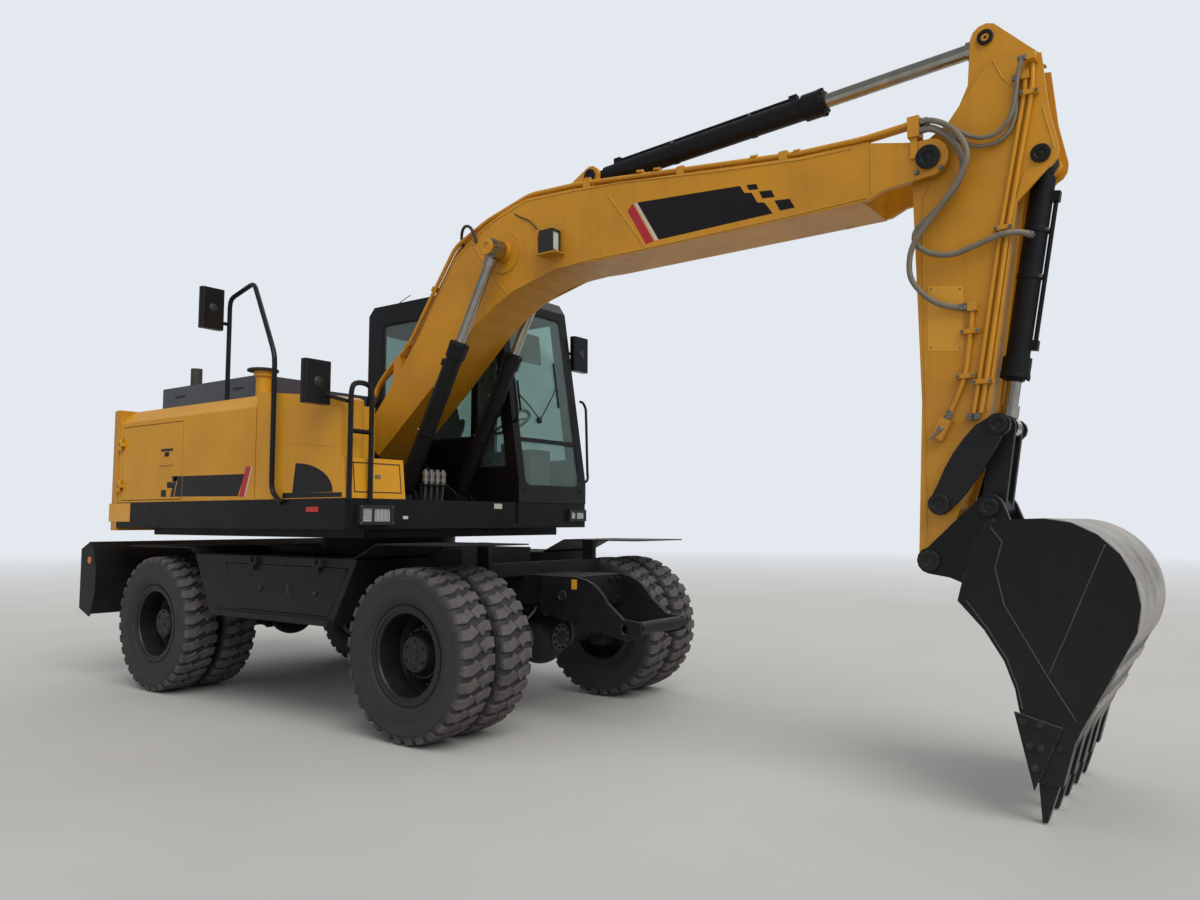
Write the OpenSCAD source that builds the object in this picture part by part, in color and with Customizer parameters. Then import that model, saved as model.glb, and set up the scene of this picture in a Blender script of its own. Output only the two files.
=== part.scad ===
// Wheeled excavator with twin tyres, a one-piece boom, a short arm and a rear blade.
// Millimetres. +X is the front of the machine, +Y its left side, +Z up, and the ground is Z = 0.
// Everything is drawn from the slew axis and then moved along X, so that the origin
// is below the middle of the machine's whole length.

/* [Wheels and axles] */
// Distance between the axles
wheelbase = 2800; // [2500:10:3100]
// Front axle ahead of the slew axis
front_axle_x = 1550; // [1400:10:1700]
// Outside diameter of a tyre
tyre_d = 1018; // [980:2:1050]
// Section width of a tyre
tyre_w = 264; // [240:2:280]
// Centre to centre distance of twin tyres
dual_pitch = 320; // [310:2:340]
// Width over the outer tyres
wheels_w = 2480; // [2400:10:2550]
// Bead seat diameter of a rim
rim_d = 508; // [480:2:520]
// Diameter of the axle hubs
hub_d = 300; // [260:5:320]

/* [Chassis] */
// Top of the chassis frame above the ground
chassis_top_z = 1010; // [980:5:1040]
// Half width of the middle of the chassis frame
chassis_half_w = 360; // [320:5:400]
// Half width of the chassis nose between the steered wheels
nose_half_w = 235; // [200:5:250]
// Outer face of the side boxes from the centre plane
side_box_y = 1215; // [1150:5:1230]
// Plate thickness of boxes and fenders
sheet_t = 8; // [5:1:10]
// Length of the blade across the machine
blade_w = 2440; // [2200:10:2480]
// Height of the blade
blade_h = 660; // [500:10:700]

/* [Upper structure] */
// Underside of the turning platform
deck_z = 1235; // [1220:5:1260]
// Top of the platform's skirt
skirt_top_z = 1430; // [1400:5:1460]
// Front edge of the platform from the slew axis
deck_front_x = 1000; // [950:10:1060]
// Tail radius
tail_r = 2150; // [2050:10:2250]
// Half width of the platform
deck_half_w = 1230; // [1150:5:1235]
// Top of the engine house
house_top_z = 2170; // [2100:5:2250]
// Outer edge of the mirrors from the centre plane
mirror_y = 1450; // [1420:10:1550]

/* [Cab] */
// Inner wall of the cab from the centre plane
cab_y = 385; // [380:5:420]
// Top of the cab roof
cab_top_z = 3170; // [3050:10:3250]
// Rear wall of the cab from the slew axis
cab_rear_x = -775; // [-850:5:-700]
// Wall thickness of the cab
cab_wall = 45; // [35:5:60]

/* [Boom and arm] */
// Half width of the boom box
boom_half_w = 190; // [170:5:195]
// Half width of the arm box
arm_half_w = 130; // [120:5:140]
// Side plate thickness of boom and arm
beam_t = 14; // [10:1:20]
// Boom cylinders from the centre plane
boom_ram_y = 288; // [280:2:300]
// Barrel diameter of the boom cylinders
boom_ram_d = 116; // [110:2:120]
// Barrel diameter of the arm cylinder
arm_ram_d = 130; // [120:2:140]
// Barrel diameter of the bucket cylinder
bucket_ram_d = 112; // [100:2:120]
// Diameter of the main pins
pin_d = 80; // [60:5:90]

/* [Bucket] */
// Width of the bucket
bucket_w = 1070; // [900:10:1100]
// Thickness of the bucket's shell and side plates
bucket_t = 20; // [12:1:25]

/* [Hidden] */
$fn = 48;

yellow = [0.95, 0.60, 0.10];
black = [0.10, 0.10, 0.11];
dark_grey = [0.22, 0.23, 0.25];
steel_grey = [0.55, 0.55, 0.56];
rubber = [0.07, 0.07, 0.07];
glass_green = [0.45, 0.60, 0.58];

// Running clearance of pins and glands
run_gap = 0.1;
// Gap between pieces that slide past each other
side_gap = 6;
// Gap under a piece that stands on another
seat_gap = 0.3;

rear_axle_x = front_axle_x - wheelbase;

// Pins in the photographed pose, each as [x from the slew axis, z from the ground]
boom_foot = [-130, 1790];
boom_ram_base = [460, 1450];
boom_ram_eye = [1361, 3167];
arm_pivot = [4289, 3152];
arm_ram_base = [2040, 3600];
arm_ram_eye = [4559, 3750];
bucket_ram_base = [4804, 3068];
link_eye = [4583, 1756];
side_link_pin = [4297, 1374];
bucket_pivot = [4235, 1092];
bucket_link_pin = [4523, 1356];
lashing_eye = [front_axle_x + 880, 630];
lashing_d = 60;
blade_pivot = [rear_axle_x - 310, 560];
blade_ram_base = [rear_axle_x - 450, 880];
blade_ram_eye = [rear_axle_x - 880, 700];

tyre_r = tyre_d / 2;
rim_r = rim_d / 2;
axle_z = tyre_r;
dual_y = wheels_w / 2 - tyre_w / 2 - dual_pitch / 2;
kingpin_y = dual_y - 148;
hub_start = dual_y - 8;
race_top_z = chassis_top_z + 165;

side_box_top = 1048;
side_box_bottom = 630;
// Ends of the side boxes, each as [x at the top, x at the bottom]
side_box_rear = [rear_axle_x + 550, rear_axle_x + 760];
side_box_front = [front_axle_x - 440, front_axle_x - 672];

blade_front_x = rear_axle_x - 940;
blade_depth = 260;
rear_end_x = blade_front_x - blade_depth;
blade_plate_in = 300;
blade_plate_out = 324;
blade_ram_y = 370;
blade_ram_d = 80;
blade_pin_d = 50;
blade_ram_eye_w = 50;

deck_top_z = deck_z + 30;
skirt_t = 30;
boom_plate_in = boom_half_w + side_gap;
boom_plate_out = boom_plate_in + 28;
ram_lug_in = boom_ram_y + boom_ram_d / 2 + side_gap;
ram_lug_out = ram_lug_in + 24;

lift_socket_x = -2000;
lift_socket_y = 600;
lift_socket_d = 60;
lift_socket_depth = 200;
house_wall = 20;
house_bevel = 100;
house_side_y = deck_half_w - 5;
house_rear_x = -1860;
house_mid_x = cab_rear_x - 15;
house_front_x = 20;
house_foot_z = skirt_top_z + seat_gap;
door_rear_x = -1800;
door_front_x = -910;
hood_top_z = 2390;
locker_front_x = 930;
locker_inner_y = 190 - deck_half_w;
locker_end_y = 490 - deck_half_w;

cab_door_rear_x = -60;
cab_left_y = deck_half_w - 5;
cab_foot_z = skirt_top_z + seat_gap;

link_pin_d = 60;
ram_eye_w = 80;
// How much wider a rod is at the neck behind its eye
neck_share = 1.25;
boom_ram_l = 1230;
arm_ram_l = 1620;
bucket_ram_l = 1080;
bucket_half_w = bucket_w / 2;
bucket_centre = [4825, 945];
bucket_r = 357;
bucket_front_x = bucket_centre[0] + bucket_r;
bucket_ear_in = arm_half_w + side_gap;
bucket_ear_out = bucket_ear_in + 30;
side_link_in = bucket_ear_out + side_gap;
side_link_out = side_link_in + 28;
fork_in = 58;
fork_out = 90;

hinge_h = 30;
hinge_d = 22;
hinge_pin_d = 12;
hinge_out = 15;
// Heights of the hinges of the cab door and of the house doors
cab_hinge_z = [1620, 2840];
house_hinge_z = [1520, 1850];
// Middles of the hinges along the side boxes' doors and along the hood
box_hinge_x = [0, 700];
box_hinge_y = side_box_y + hinge_out;
box_hinge_z = 1001;
hood_hinge_x = [-1650, -1100];
hood_hinge_y = deck_half_w - 365;

mid_x = (bucket_front_x + rear_end_x) / 2;

// Routes of the hoses, from the front block on the boom's tip to the arm, and from the pipes to the platform
hose_block_x = 4250;
tip_hose_d = 22;
arm_hose_d = 30;
foot_hose_d = 30;
upper_tip_hose = [[4250.3, -155, 3362], [4275, -155, 3362], [4304, -158, 3355], [4350, -164, 3330],
    [4410, -170, 3283], [4470, -176, 3232], [4512, -178, 3208], [4553, -178, 3195], [4614, -178, 3200],
    [4665, -180, 3243], [4695, -182, 3303], [4713, -184, 3392], [4722, -184, 3455], [4734, -182, 3512],
    [4748, -178, 3548], [4763.7, -178, 3548]];
lower_tip_hose = [[4250.3, -155, 3334], [4275, -155, 3334], [4302, -157, 3324], [4345, -160, 3296],
    [4400, -162, 3248], [4458, -162, 3198], [4510, -160, 3170], [4556, -158, 3160], [4620, -154, 3168],
    [4672, -152, 3212], [4698, -150, 3280], [4706, -149, 3350], [4709, -148, 3410], [4712, -147, 3450],
    [4717, -147, 3472], [4729.7, -147, 3472]];
breaker_hose_route = [[4250.3, -195, 3348], [4275, -195, 3348], [4312, -198, 3340], [4370, -206, 3306],
    [4430, -218, 3248], [4474, -226, 3170], [4486, -230, 3095], [4460, -229, 3025], [4409, -226, 2945],
    [4337, -220, 2863], [4257, -211, 2778], [4201, -201, 2702], [4178, -191, 2624], [4181, -182, 2541],
    [4221, -174, 2471], [4284, -166, 2409], [4350, -158, 2374], [4415, -152, 2360], [4447.7, -152, 2360]];
bucket_hose_route = [[4250.3, -195, 3304], [4275, -195, 3304], [4320, -194, 3290], [4376, -190, 3250],
    [4425, -186, 3184], [4450, -178, 3110], [4446, -170, 3040], [4412, -168, 2976], [4357, -168, 2915],
    [4284, -168, 2852], [4218, -168, 2798], [4200, -170, 2744], [4228, -172, 2694], [4300, -174, 2648],
    [4398, -176, 2632], [4508, -178, 2658], [4600, -180, 2684], [4655, -178, 2692], [4702, -140, 2695],
    [4727, -95, 2695], [4738, -61.5, 2695]];
outer_foot_hose = [[-11.1, 170, 2265.7], [-21, 170, 2243], [-28, 180, 2205], [-22, 210, 2145], [-10, 242,
    2060],
    [-4, 260, 1960], [-8, 266, 1860], [-14, 266, 1760], [-16, 266, 1600], [-14, 266, 1440],
    [-14, 266, deck_z + 30.3]];
inner_foot_hose = [[-51.1, 125, 2265.7], [-61, 125, 2243], [-72, 136, 2208], [-80, 170, 2168], [-76, 212,
    2116],
    [-64, 246, 2050], [-56, 264, 1980], [-54, 268, 1890], [-58, 268, 1780], [-60, 268, 1600], [-58, 268,
        1440],
    [-58, 268, deck_z + 30.3]];

// Angle in the XZ plane from one pin to another
function pin_angle(a, b) = atan2(b[1] - a[1], b[0] - a[0]);
function pin_distance(a, b) = norm(b - a);
function rod_of(d) = d * 0.62 - 2 * run_gap;
// Points on an arc about a centre, in a plane
function arc(centre, r, from, to, steps) =
    [for (i = [0:steps]) let (a = from + (to - from) * i / steps) centre + r * [cos(a), sin(a)]];

// Draws a shape of the XZ plane as a plate from y0 to y1
module plate(y0, y1) {
    translate([0, y1, 0]) rotate([90, 0, 0]) linear_extrude(y1 - y0) children();
}
// A round bar across the machine
module cross_bar(pin, d, y0, y1) {
    translate([pin[0], y1, pin[1]]) rotate([90, 0, 0]) cylinder(d = d, h = y1 - y0);
}
// The same piece on both sides of the centre plane
module both_sides() {
    children();
    mirror([0, 1, 0]) children();
}
// Local +X runs from one pin to another
module along(a, b) {
    translate([a[0], 0, a[1]]) rotate([0, -pin_angle(a, b), 0]) children();
}
// A box by its corners
module block(low, high) {
    translate(low) cube(high - low);
}
// A box with rounded vertical edges
module rounded_block(low, high, r) {
    translate([low[0] + r, low[1] + r, low[2]]) linear_extrude(high[2] - low[2])
        offset(r) square([high[0] - low[0] - 2 * r, high[1] - low[1] - 2 * r]);
}
// A hollow box beam from a side outline
module box_beam(half_w, wall) {
    difference() {
        plate(-half_w, half_w) children();
        plate(wall - half_w, half_w - wall) offset(-wall) children();
    }
}
function unit(v) = v / norm(v);
// A path with each inner corner replaced by points on a curve that starts r before it
function soft_path(path, r, steps = 3) = [
    path[0],
    for (i = [1:len(path) - 2])
        let (back = path[i - 1] - path[i], ahead = path[i + 1] - path[i],
            a = path[i] + unit(back) * min(r, norm(back) * 0.49),
            b = path[i] + unit(ahead) * min(r, norm(ahead) * 0.49))
            for (k = [0:steps]) let (t = k / steps) (1 - t) ^ 2 * a + 2 * t * (1 - t) * path[i] + t ^ 2 * b,
    path[len(path) - 1]
];
function tangent(path, i) = let (last = len(path) - 1)
    i == 0 ? unit(path[1] - path[0])
    : i == last ? unit(path[last] - path[last - 1])
    : unit(unit(path[i] - path[i - 1]) + unit(path[i + 1] - path[i]));
function flatten_to(v, t) = unit(v - (v * t) * t);
// Tube or bar of round section with a ring at each point of its path
module swept_tube(path, d, sides) {
    t0 = tangent(path, 0);
    first = flatten_to(abs(t0[2]) < 0.9 ? [0, 0, 1] : [1, 0, 0], t0);
    normals = [for (i = 0, n = first; i < len(path);
        i = i + 1, n = i < len(path) ? flatten_to(n, tangent(path, i)) : n) n];
    points = [for (i = [0:len(path) - 1]) for (k = [0:sides - 1])
        let (a = 360 * k / sides, n = normals[i], b = cross(tangent(path, i), n))
            path[i] + d / 2 * (cos(a) * n + sin(a) * b)];
    last = (len(path) - 1) * sides;
    polyhedron(points, concat(
        [[for (k = [0:sides - 1]) k]], [[for (k = [sides - 1:-1:0]) last + k]],
        [for (i = [0:len(path) - 2]) for (k = [0:sides - 1]) let (m = (k + 1) % sides)
            [i * sides + k, (i + 1) * sides + k, (i + 1) * sides + m]],
        [for (i = [0:len(path) - 2]) for (k = [0:sides - 1]) let (m = (k + 1) % sides)
            [i * sides + k, (i + 1) * sides + m, i * sides + m]]));
}
// The same along straight stretches, with corners softened over r
module bent_bar(corners, d, r = 60, sides = 10) {
    swept_tube(len(corners) > 2 ? soft_path(corners, r) : corners, d, sides);
}

// Fixed half of a hinge about local Z, with its pin, for a panel whose face is hinge_out behind the axis
module hinge_pin() {
    cylinder(d = hinge_pin_d, h = 3 * hinge_h);
    for (z = [0, 2 * hinge_h]) translate([0, 0, z]) {
        cylinder(d = hinge_d, h = hinge_h - seat_gap);
        block([-45, -hinge_out - 1, 0], [0, hinge_d / 2, hinge_h - seat_gap]);
    }
}
// Turning half, whose leaf reaches over the edge of the door
module hinge_sleeve() {
    translate([0, 0, hinge_h]) difference() {
        union() {
            cylinder(d = hinge_d, h = hinge_h - seat_gap);
            block([0, -5, 0], [20, hinge_d / 2, hinge_h - seat_gap]);
            block([12, -hinge_out - 1, 0], [45, hinge_d / 2, hinge_h - seat_gap]);
        }
        translate([0, 0, -1]) cylinder(d = hinge_pin_d + 2 * run_gap, h = hinge_h + 2);
    }
}

module at_origin() {
    translate([-mid_x, 0, 0]) children();
}

module chassis_frame() color(black) at_origin() {
    nose_top_z = 935;
    girder_bottom_z = 740;
    wall = 20;
    bolster_half_w = 580;
    tube_pin = [front_axle_x + 970, 640];
    tube_d = 78;
    rear_x = rear_axle_x - 400;
    nose_rear_x = front_axle_x - 400;
    nose_front_x = front_axle_x + 510;
    difference() {
        union() {
            // Main girder and nose
            difference() {
                block([rear_x, -chassis_half_w, girder_bottom_z], [nose_rear_x, chassis_half_w,
                    chassis_top_z]);
                block([rear_x + wall, wall - chassis_half_w, girder_bottom_z + wall],
                    [nose_rear_x - wall, chassis_half_w - wall, chassis_top_z - wall]);
            }
            difference() {
                block([nose_rear_x - wall, -nose_half_w, girder_bottom_z], [nose_front_x, nose_half_w,
                    nose_top_z]);
                block([nose_rear_x, wall - nose_half_w, girder_bottom_z + wall],
                    [nose_front_x - wall, nose_half_w - wall, nose_top_z - wall]);
            }
            // Belly with the gearbox seat
            difference() {
                block([-850, -300, 600], [850, 300, girder_bottom_z + 10]);
                block([-850 + wall, wall - 300, 600 + wall], [850 - wall, 300 - wall, girder_bottom_z + 5]);
            }
            // Front bracket plates with their curved front edge
            both_sides() plate(nose_half_w - 1, nose_half_w + 25)
                translate([nose_front_x, 0]) polygon(concat([[-300, 700], [-300, nose_top_z], [0,
                    nose_top_z]],
                    arc([-20, 635], 300, 70, 30, 4), [[360, 690], [480, 680], [500, 600], [380, 560]]));
            cross_bar(tube_pin, tube_d, -nose_half_w, nose_half_w);
            // Bolsters over both axles
            for (x = [front_axle_x, rear_axle_x])
                block([x - 60, -bolster_half_w, 925], [x + 60, bolster_half_w, chassis_top_z]);
            // Rear plates that carry the blade and its cylinders
            both_sides() {
                plate(blade_plate_in, blade_plate_out) polygon(concat([[rear_x + 250, girder_bottom_z + 5]],
                    arc(blade_pivot, 80, -20, -160, 6), [[rear_x - 30, 760]], arc(blade_ram_base, 60, 210,
                        90, 4),
                    [[rear_x + 30, 990]]));
                cross_bar(blade_ram_base, blade_pin_d, blade_plate_in,
                    blade_ram_y + blade_ram_eye_w / 2 + 12);
            }
            // Cover over the lines on both sides of the slew ring
            difference() {
                block([rear_axle_x + 160, -chassis_half_w, chassis_top_z - 1],
                    [nose_rear_x, chassis_half_w, chassis_top_z + 85]);
                translate([0, 0, chassis_top_z + 30]) cylinder(d = 1000, h = 100);
            }
            // Seat and fixed race of the slew ring
            translate([0, 0, chassis_top_z - 5]) cylinder(d = 1060, h = 55);
            translate([0, 0, chassis_top_z + 40]) difference() {
                cylinder(d = 1020, h = race_top_z - chassis_top_z - 40);
                cylinder(d = 860, h = 200);
            }
        }
        both_sides() cross_bar(lashing_eye, lashing_d, nose_half_w - 2, nose_half_w + 26);
        both_sides() cross_bar(blade_pivot, pin_d + 2 * run_gap, blade_plate_in - 1, blade_plate_out + 1);
        translate([0, 0, chassis_top_z - 30]) cylinder(d = 500, h = 100);
    }
}

module axle_front() color(black) at_origin() translate([front_axle_x, 0, axle_z]) {
    sphere(d = 380);
    both_sides() {
        rotate([-90, 0, 0]) cylinder(d1 = 190, d2 = 150, h = 690);
        difference() {
            union() {
                block([-60, 660, -135], [60, kingpin_y - 60, 135]);
                translate([0, 0, 95]) block([-60, kingpin_y - 90, 0], [60, kingpin_y + 20, 40]);
                translate([0, 0, -135]) block([-60, kingpin_y - 90, 0], [60, kingpin_y + 20, 40]);
            }
            translate([0, kingpin_y, -150]) cylinder(d = 60 + 2 * run_gap, h = 300);
        }
    }
    // Mount up to the nose
    block([-150, -150, 150], [150, 150, 740 - seat_gap - axle_z]);
}
module axle_rear() color(black) at_origin() translate([rear_axle_x, 0, axle_z]) {
    sphere(d = 380);
    both_sides() {
        rotate([-90, 0, 0]) cylinder(d1 = 190, d2 = 150, h = hub_start - seat_gap);
        translate([0, 700, 0]) rotate([-90, 0, 0]) cylinder(d = 230, h = 100);
    }
    block([-150, -150, 150], [150, 150, 740 - seat_gap - axle_z]);
}

module knuckle(side) color(black) at_origin()
translate([front_axle_x, 0, axle_z]) mirror([0, side < 0 ? 1 : 0, 0]) {
    translate([0, kingpin_y, -134]) cylinder(d = 60, h = 268);
    translate([0, kingpin_y, -90]) cylinder(d = 110, h = 180);
    translate([0, kingpin_y, 0]) rotate([-90, 0, 0]) cylinder(d = 120, h = hub_start - seat_gap - kingpin_y);
}
module knuckle_right() knuckle(-1);
module knuckle_left() knuckle(1);

// Twin rims on one hub, with the discs clamped between them
module rims(axle_x, side) color(black) at_origin()
translate([axle_x, 0, axle_z]) mirror([0, side < 0 ? 1 : 0, 0]) rotate([-90, 0, 0]) {
    barrel_half_w = 89;
    for (place = [-1, 1]) translate([0, 0, dual_y + place * dual_pitch / 2])
        rotate_extrude() {
            polygon([[rim_r - 14, -barrel_half_w], [rim_r - 14, barrel_half_w],
                [rim_r - 8, barrel_half_w + 10], [rim_r + 38, barrel_half_w + 10],
                [rim_r + 38, barrel_half_w], [rim_r, barrel_half_w - 4],
                [rim_r, 4 - barrel_half_w], [rim_r + 38, -barrel_half_w],
                [rim_r + 38, -barrel_half_w - 10], [rim_r - 8, -barrel_half_w - 10]]);
        }
    // Discs that lean from the clamping plane to the barrels
    for (place = [-1, 1]) translate([0, 0, dual_y]) mirror([0, 0, place < 0 ? 1 : 0])
        rotate_extrude() polygon([[hub_d / 2 - 2, 0], [190, 0], [rim_r - 13, 80], [rim_r - 13, 94],
            [185, 13], [hub_d / 2 - 2, 13]]);
    translate([0, 0, hub_start]) cylinder(d = hub_d, h = dual_y + 130 - hub_start);
    translate([0, 0, dual_y + 129]) cylinder(d1 = hub_d - 30, d2 = hub_d - 90, h = 60);
}
module rims_front_right() rims(front_axle_x, -1);
module rims_front_left() rims(front_axle_x, 1);
module rims_rear_right() rims(rear_axle_x, -1);
module rims_rear_left() rims(rear_axle_x, 1);

module tyres(axle_x, side) color(rubber) at_origin()
translate([axle_x, 0, axle_z]) mirror([0, side < 0 ? 1 : 0, 0]) rotate([-90, 0, 0])
    for (place = [-1, 1]) translate([0, 0, dual_y + place * dual_pitch / 2]) rotate_extrude() {
        half_w = tyre_w / 2;
        profile = [[rim_r + 0.3, 84], [rim_r + 38.3, 88.5], [rim_r + 38.3, 99.5], [rim_r + 85, half_w - 5],
            [rim_r + 165, half_w], [tyre_r - 22, half_w - 12], [tyre_r, half_w - 36]];
        polygon(concat([for (p = profile) p],
            [for (i = [len(profile) - 1:-1:0]) [profile[i][0], -profile[i][1]]]));
    }
module tyres_front_right() tyres(front_axle_x, -1);
module tyres_front_left() tyres(front_axle_x, 1);
module tyres_rear_right() tyres(rear_axle_x, -1);
module tyres_rear_left() tyres(rear_axle_x, 1);

// Fender plates, flat over the tyres and bent down to the side box
module fenders() color(black) at_origin() {
    inner_y = 590;
    outer_y = wheels_w / 2 - 20;
    box_z = side_box_top + seat_gap;
    // Each as [axle x, height], then from the axle to the free end, to the bend and to the end on the side box
    for (f = [[front_axle_x, 1150, 400, -265, -470], [rear_axle_x, 1095, -400, 480, 570]]) both_sides() {
        translate([f[0], 0, 0]) plate(inner_y, outer_y) polygon([[f[2], f[1]], [f[3], f[1]],
            [f[4], box_z + sheet_t], [f[4], box_z], [f[3], f[1] - sheet_t], [f[2], f[1] - sheet_t]]);
        // Bracket that stands on the bolster
        block([f[0] - 50, 540, chassis_top_z + seat_gap], [f[0] + 50, 575, f[1]]);
        block([f[0] - 50, 540, f[1] - 30], [f[0] + 50, inner_y + 6, f[1] - 1]);
    }
}

module side_box_outline() {
    polygon([[side_box_rear[0], side_box_top], [side_box_front[0], side_box_top],
        [side_box_front[1], side_box_bottom], [side_box_rear[1], side_box_bottom]]);
}
// The door's upper corners are set back, so that it turns out of its opening
module side_door_outline(gap, set_back = 0) {
    top_z = side_box_top - 55;
    offset(delta = gap) polygon([[side_box_rear[0] + 421, top_z - 45], [side_box_rear[0] + 400 + set_back,
        top_z],
        [side_box_front[0] - 90 - set_back, top_z], [side_box_front[0] - 117, top_z - 45],
        [side_box_front[1] - 40, side_box_bottom + 60], [side_box_rear[1] + 330, side_box_bottom + 60]]);
}
module side_boxes() color(black) at_origin() both_sides() {
    difference() {
        union() {
            plate(560, side_box_y) side_box_outline();
            // Brackets to the frame
            for (x = [-350, 350]) block([x - 60, chassis_half_w + seat_gap, 800], [x + 60, 561, 960]);
            // Step along the foot of the box
            block([side_box_rear[1] + 60, side_box_y - 1, side_box_bottom],
                [side_box_front[1] - 20, side_box_y + 20, side_box_bottom + 38]);
        }
        plate(580, side_box_y - 20) offset(-20) side_box_outline();
        plate(side_box_y - 30, side_box_y + 10) side_door_outline(4);
    }
    for (x = box_hinge_x) translate([x, box_hinge_y, box_hinge_z]) rotate([0, 90, 0]) hinge_pin();
}
module side_box_door(side) color(black) at_origin() mirror([0, side < 0 ? 1 : 0, 0]) {
    plate(side_box_y - 16, side_box_y) side_door_outline(0, 12);
    for (x = box_hinge_x) translate([x, box_hinge_y, box_hinge_z]) rotate([0, 90, 0]) hinge_sleeve();
}
module side_box_door_right() side_box_door(-1);
module side_box_door_left() side_box_door(1);

module drivetrain() color(dark_grey) at_origin() {
    // Gearbox under the belly with the shafts to both axles
    rounded_block([-260, -190, 390], [260, 190, 600 - seat_gap], 60);
    for (x = [[rear_axle_x + 190 + seat_gap, -259], [259, front_axle_x - 190 - seat_gap]])
        translate([x[0], 0, axle_z]) rotate([0, 90, 0]) cylinder(d = 80, h = x[1] - x[0]);
}

module blade() color(black) at_origin() {
    top_z = 1150;
    board_centre = [blade_front_x - 560, 800];
    // Curved mouldboard
    plate(-blade_w / 2, blade_w / 2) polygon(concat(arc(board_centre, 560, 34, -30, 8),
        arc(board_centre, 540, -30, 34, 8)));
    both_sides() {
        // End plates
        plate(blade_w / 2 - 12, blade_w / 2) polygon([[blade_front_x - 110, top_z - 36], [rear_end_x,
            top_z - 100],
            [rear_end_x, 560], [blade_front_x - 90, 500], [blade_front_x, 700], [blade_front_x, 900]]);
        // Lifting arms with their pivots
        plate(220, blade_plate_in - side_gap) polygon(concat(arc(blade_pivot, 75, -90, 90, 6),
            [[blade_front_x + 60, 760], [blade_front_x - 8, 880], [blade_front_x - 8, 620]]));
        cross_bar(blade_pivot, pin_d, 220, blade_plate_out + 12);
        // Lugs of the cylinders
        for (y = [blade_ram_y - 52, blade_ram_y + 32]) plate(y, y + 20) polygon(concat(
            [[blade_front_x - 8, 620], [blade_front_x + 30, 620]], arc(blade_ram_eye, 40, -60, 120, 6),
            [[blade_front_x - 8, 860]]));
    }
}
module blade_ram_barrels() color(black) at_origin() both_sides() translate([0, blade_ram_y, 0])
    along(blade_ram_base, blade_ram_eye)
        ram_barrel(blade_ram_d, 350, blade_ram_eye_w, blade_pin_d, false);
module blade_ram_rods() color(steel_grey) at_origin() both_sides() translate([0, blade_ram_y, 0])
    along(blade_ram_base, blade_ram_eye)
        ram_rod(rod_of(blade_ram_d), 110, pin_distance(blade_ram_base, blade_ram_eye), blade_ram_eye_w, 76);

// Turning race, platform plate, skirts and the brackets of the boom and its cylinders
module platform() color(black) at_origin() {
    race_d = 850;
    keel_z = deck_z - 60;
    keel_w = 60;
    keel_rear_x = house_rear_x + 140;
    keel_front_x = deck_front_x - 110;
    keel_half_w = deck_half_w - 240;
    difference() {
        union() {
            // Frame around the underside, above the fenders
            difference() {
                block([keel_rear_x, -keel_half_w, keel_z], [keel_front_x, keel_half_w, deck_z + 1]);
                block([keel_rear_x + keel_w, keel_w - keel_half_w, keel_z - 1],
                    [keel_front_x - keel_w, keel_half_w - keel_w, deck_z + 2]);
            }
            block([house_rear_x, -deck_half_w, deck_z], [deck_front_x, deck_half_w, deck_top_z]);
            both_sides() block([house_rear_x, deck_half_w - skirt_t, deck_z],
                [deck_front_x, deck_half_w, skirt_top_z]);
            // Front skirts, each from y to y
            for (y = [[-deck_half_w, -430], [cab_y, deck_half_w]])
                block([deck_front_x - skirt_t, y[0], deck_z], [deck_front_x, y[1], skirt_top_z]);
            both_sides() {
                plate(boom_plate_in, boom_plate_out) polygon(concat(
                    [[-900, deck_top_z - 1], [deck_front_x - 200, deck_top_z - 1]],
                    arc(boom_ram_base, 75, -40, 60, 4), arc(boom_foot, 135, 30, 150, 5)));
                plate(ram_lug_in, ram_lug_out) polygon(concat(
                    [[boom_ram_base[0] - 160, deck_top_z - 1], [boom_ram_base[0] + 160, deck_top_z - 1]],
                    arc(boom_ram_base, 75, 20, 160, 5)));
                cross_bar(boom_ram_base, pin_d, boom_plate_in, ram_lug_out);
            }
            cross_bar(boom_foot, pin_d, -boom_plate_out - 14, boom_plate_out + 14);
            block([-900, -boom_plate_in - 1, deck_top_z - 1], [-870, boom_plate_in + 1, 1600]);
            // Turning race inside and on top of the fixed one
            translate([0, 0, race_top_z + seat_gap]) cylinder(d = 1020, h = deck_z - race_top_z);
            translate([0, 0, chassis_top_z + 56]) cylinder(d = race_d, h = deck_z - chassis_top_z - 55);
        }
        translate([0, 0, chassis_top_z]) cylinder(d = 480, h = 300);
    }
}

module counterweight() color(yellow) at_origin() difference() {
    rear_r = 260;
    bottom_z = 1210;
    top_z = house_top_z + 10;
    intersection() {
        rounded_block([-tail_r, -deck_half_w, bottom_z], [-1400, deck_half_w, top_z], rear_r);
        block([-tail_r - 1, -deck_half_w - 1, bottom_z], [house_rear_x - seat_gap, deck_half_w + 1,
            top_z + 1]);
    }
    for (y = [-lift_socket_y, lift_socket_y])
        translate([lift_socket_x, y, top_z - lift_socket_depth]) cylinder(d = lift_socket_d, h = 300);
}

module engine_block() color(dark_grey) at_origin()
    block([-1700, -450, deck_top_z + seat_gap], [-950, 350, 1950]);

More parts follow.
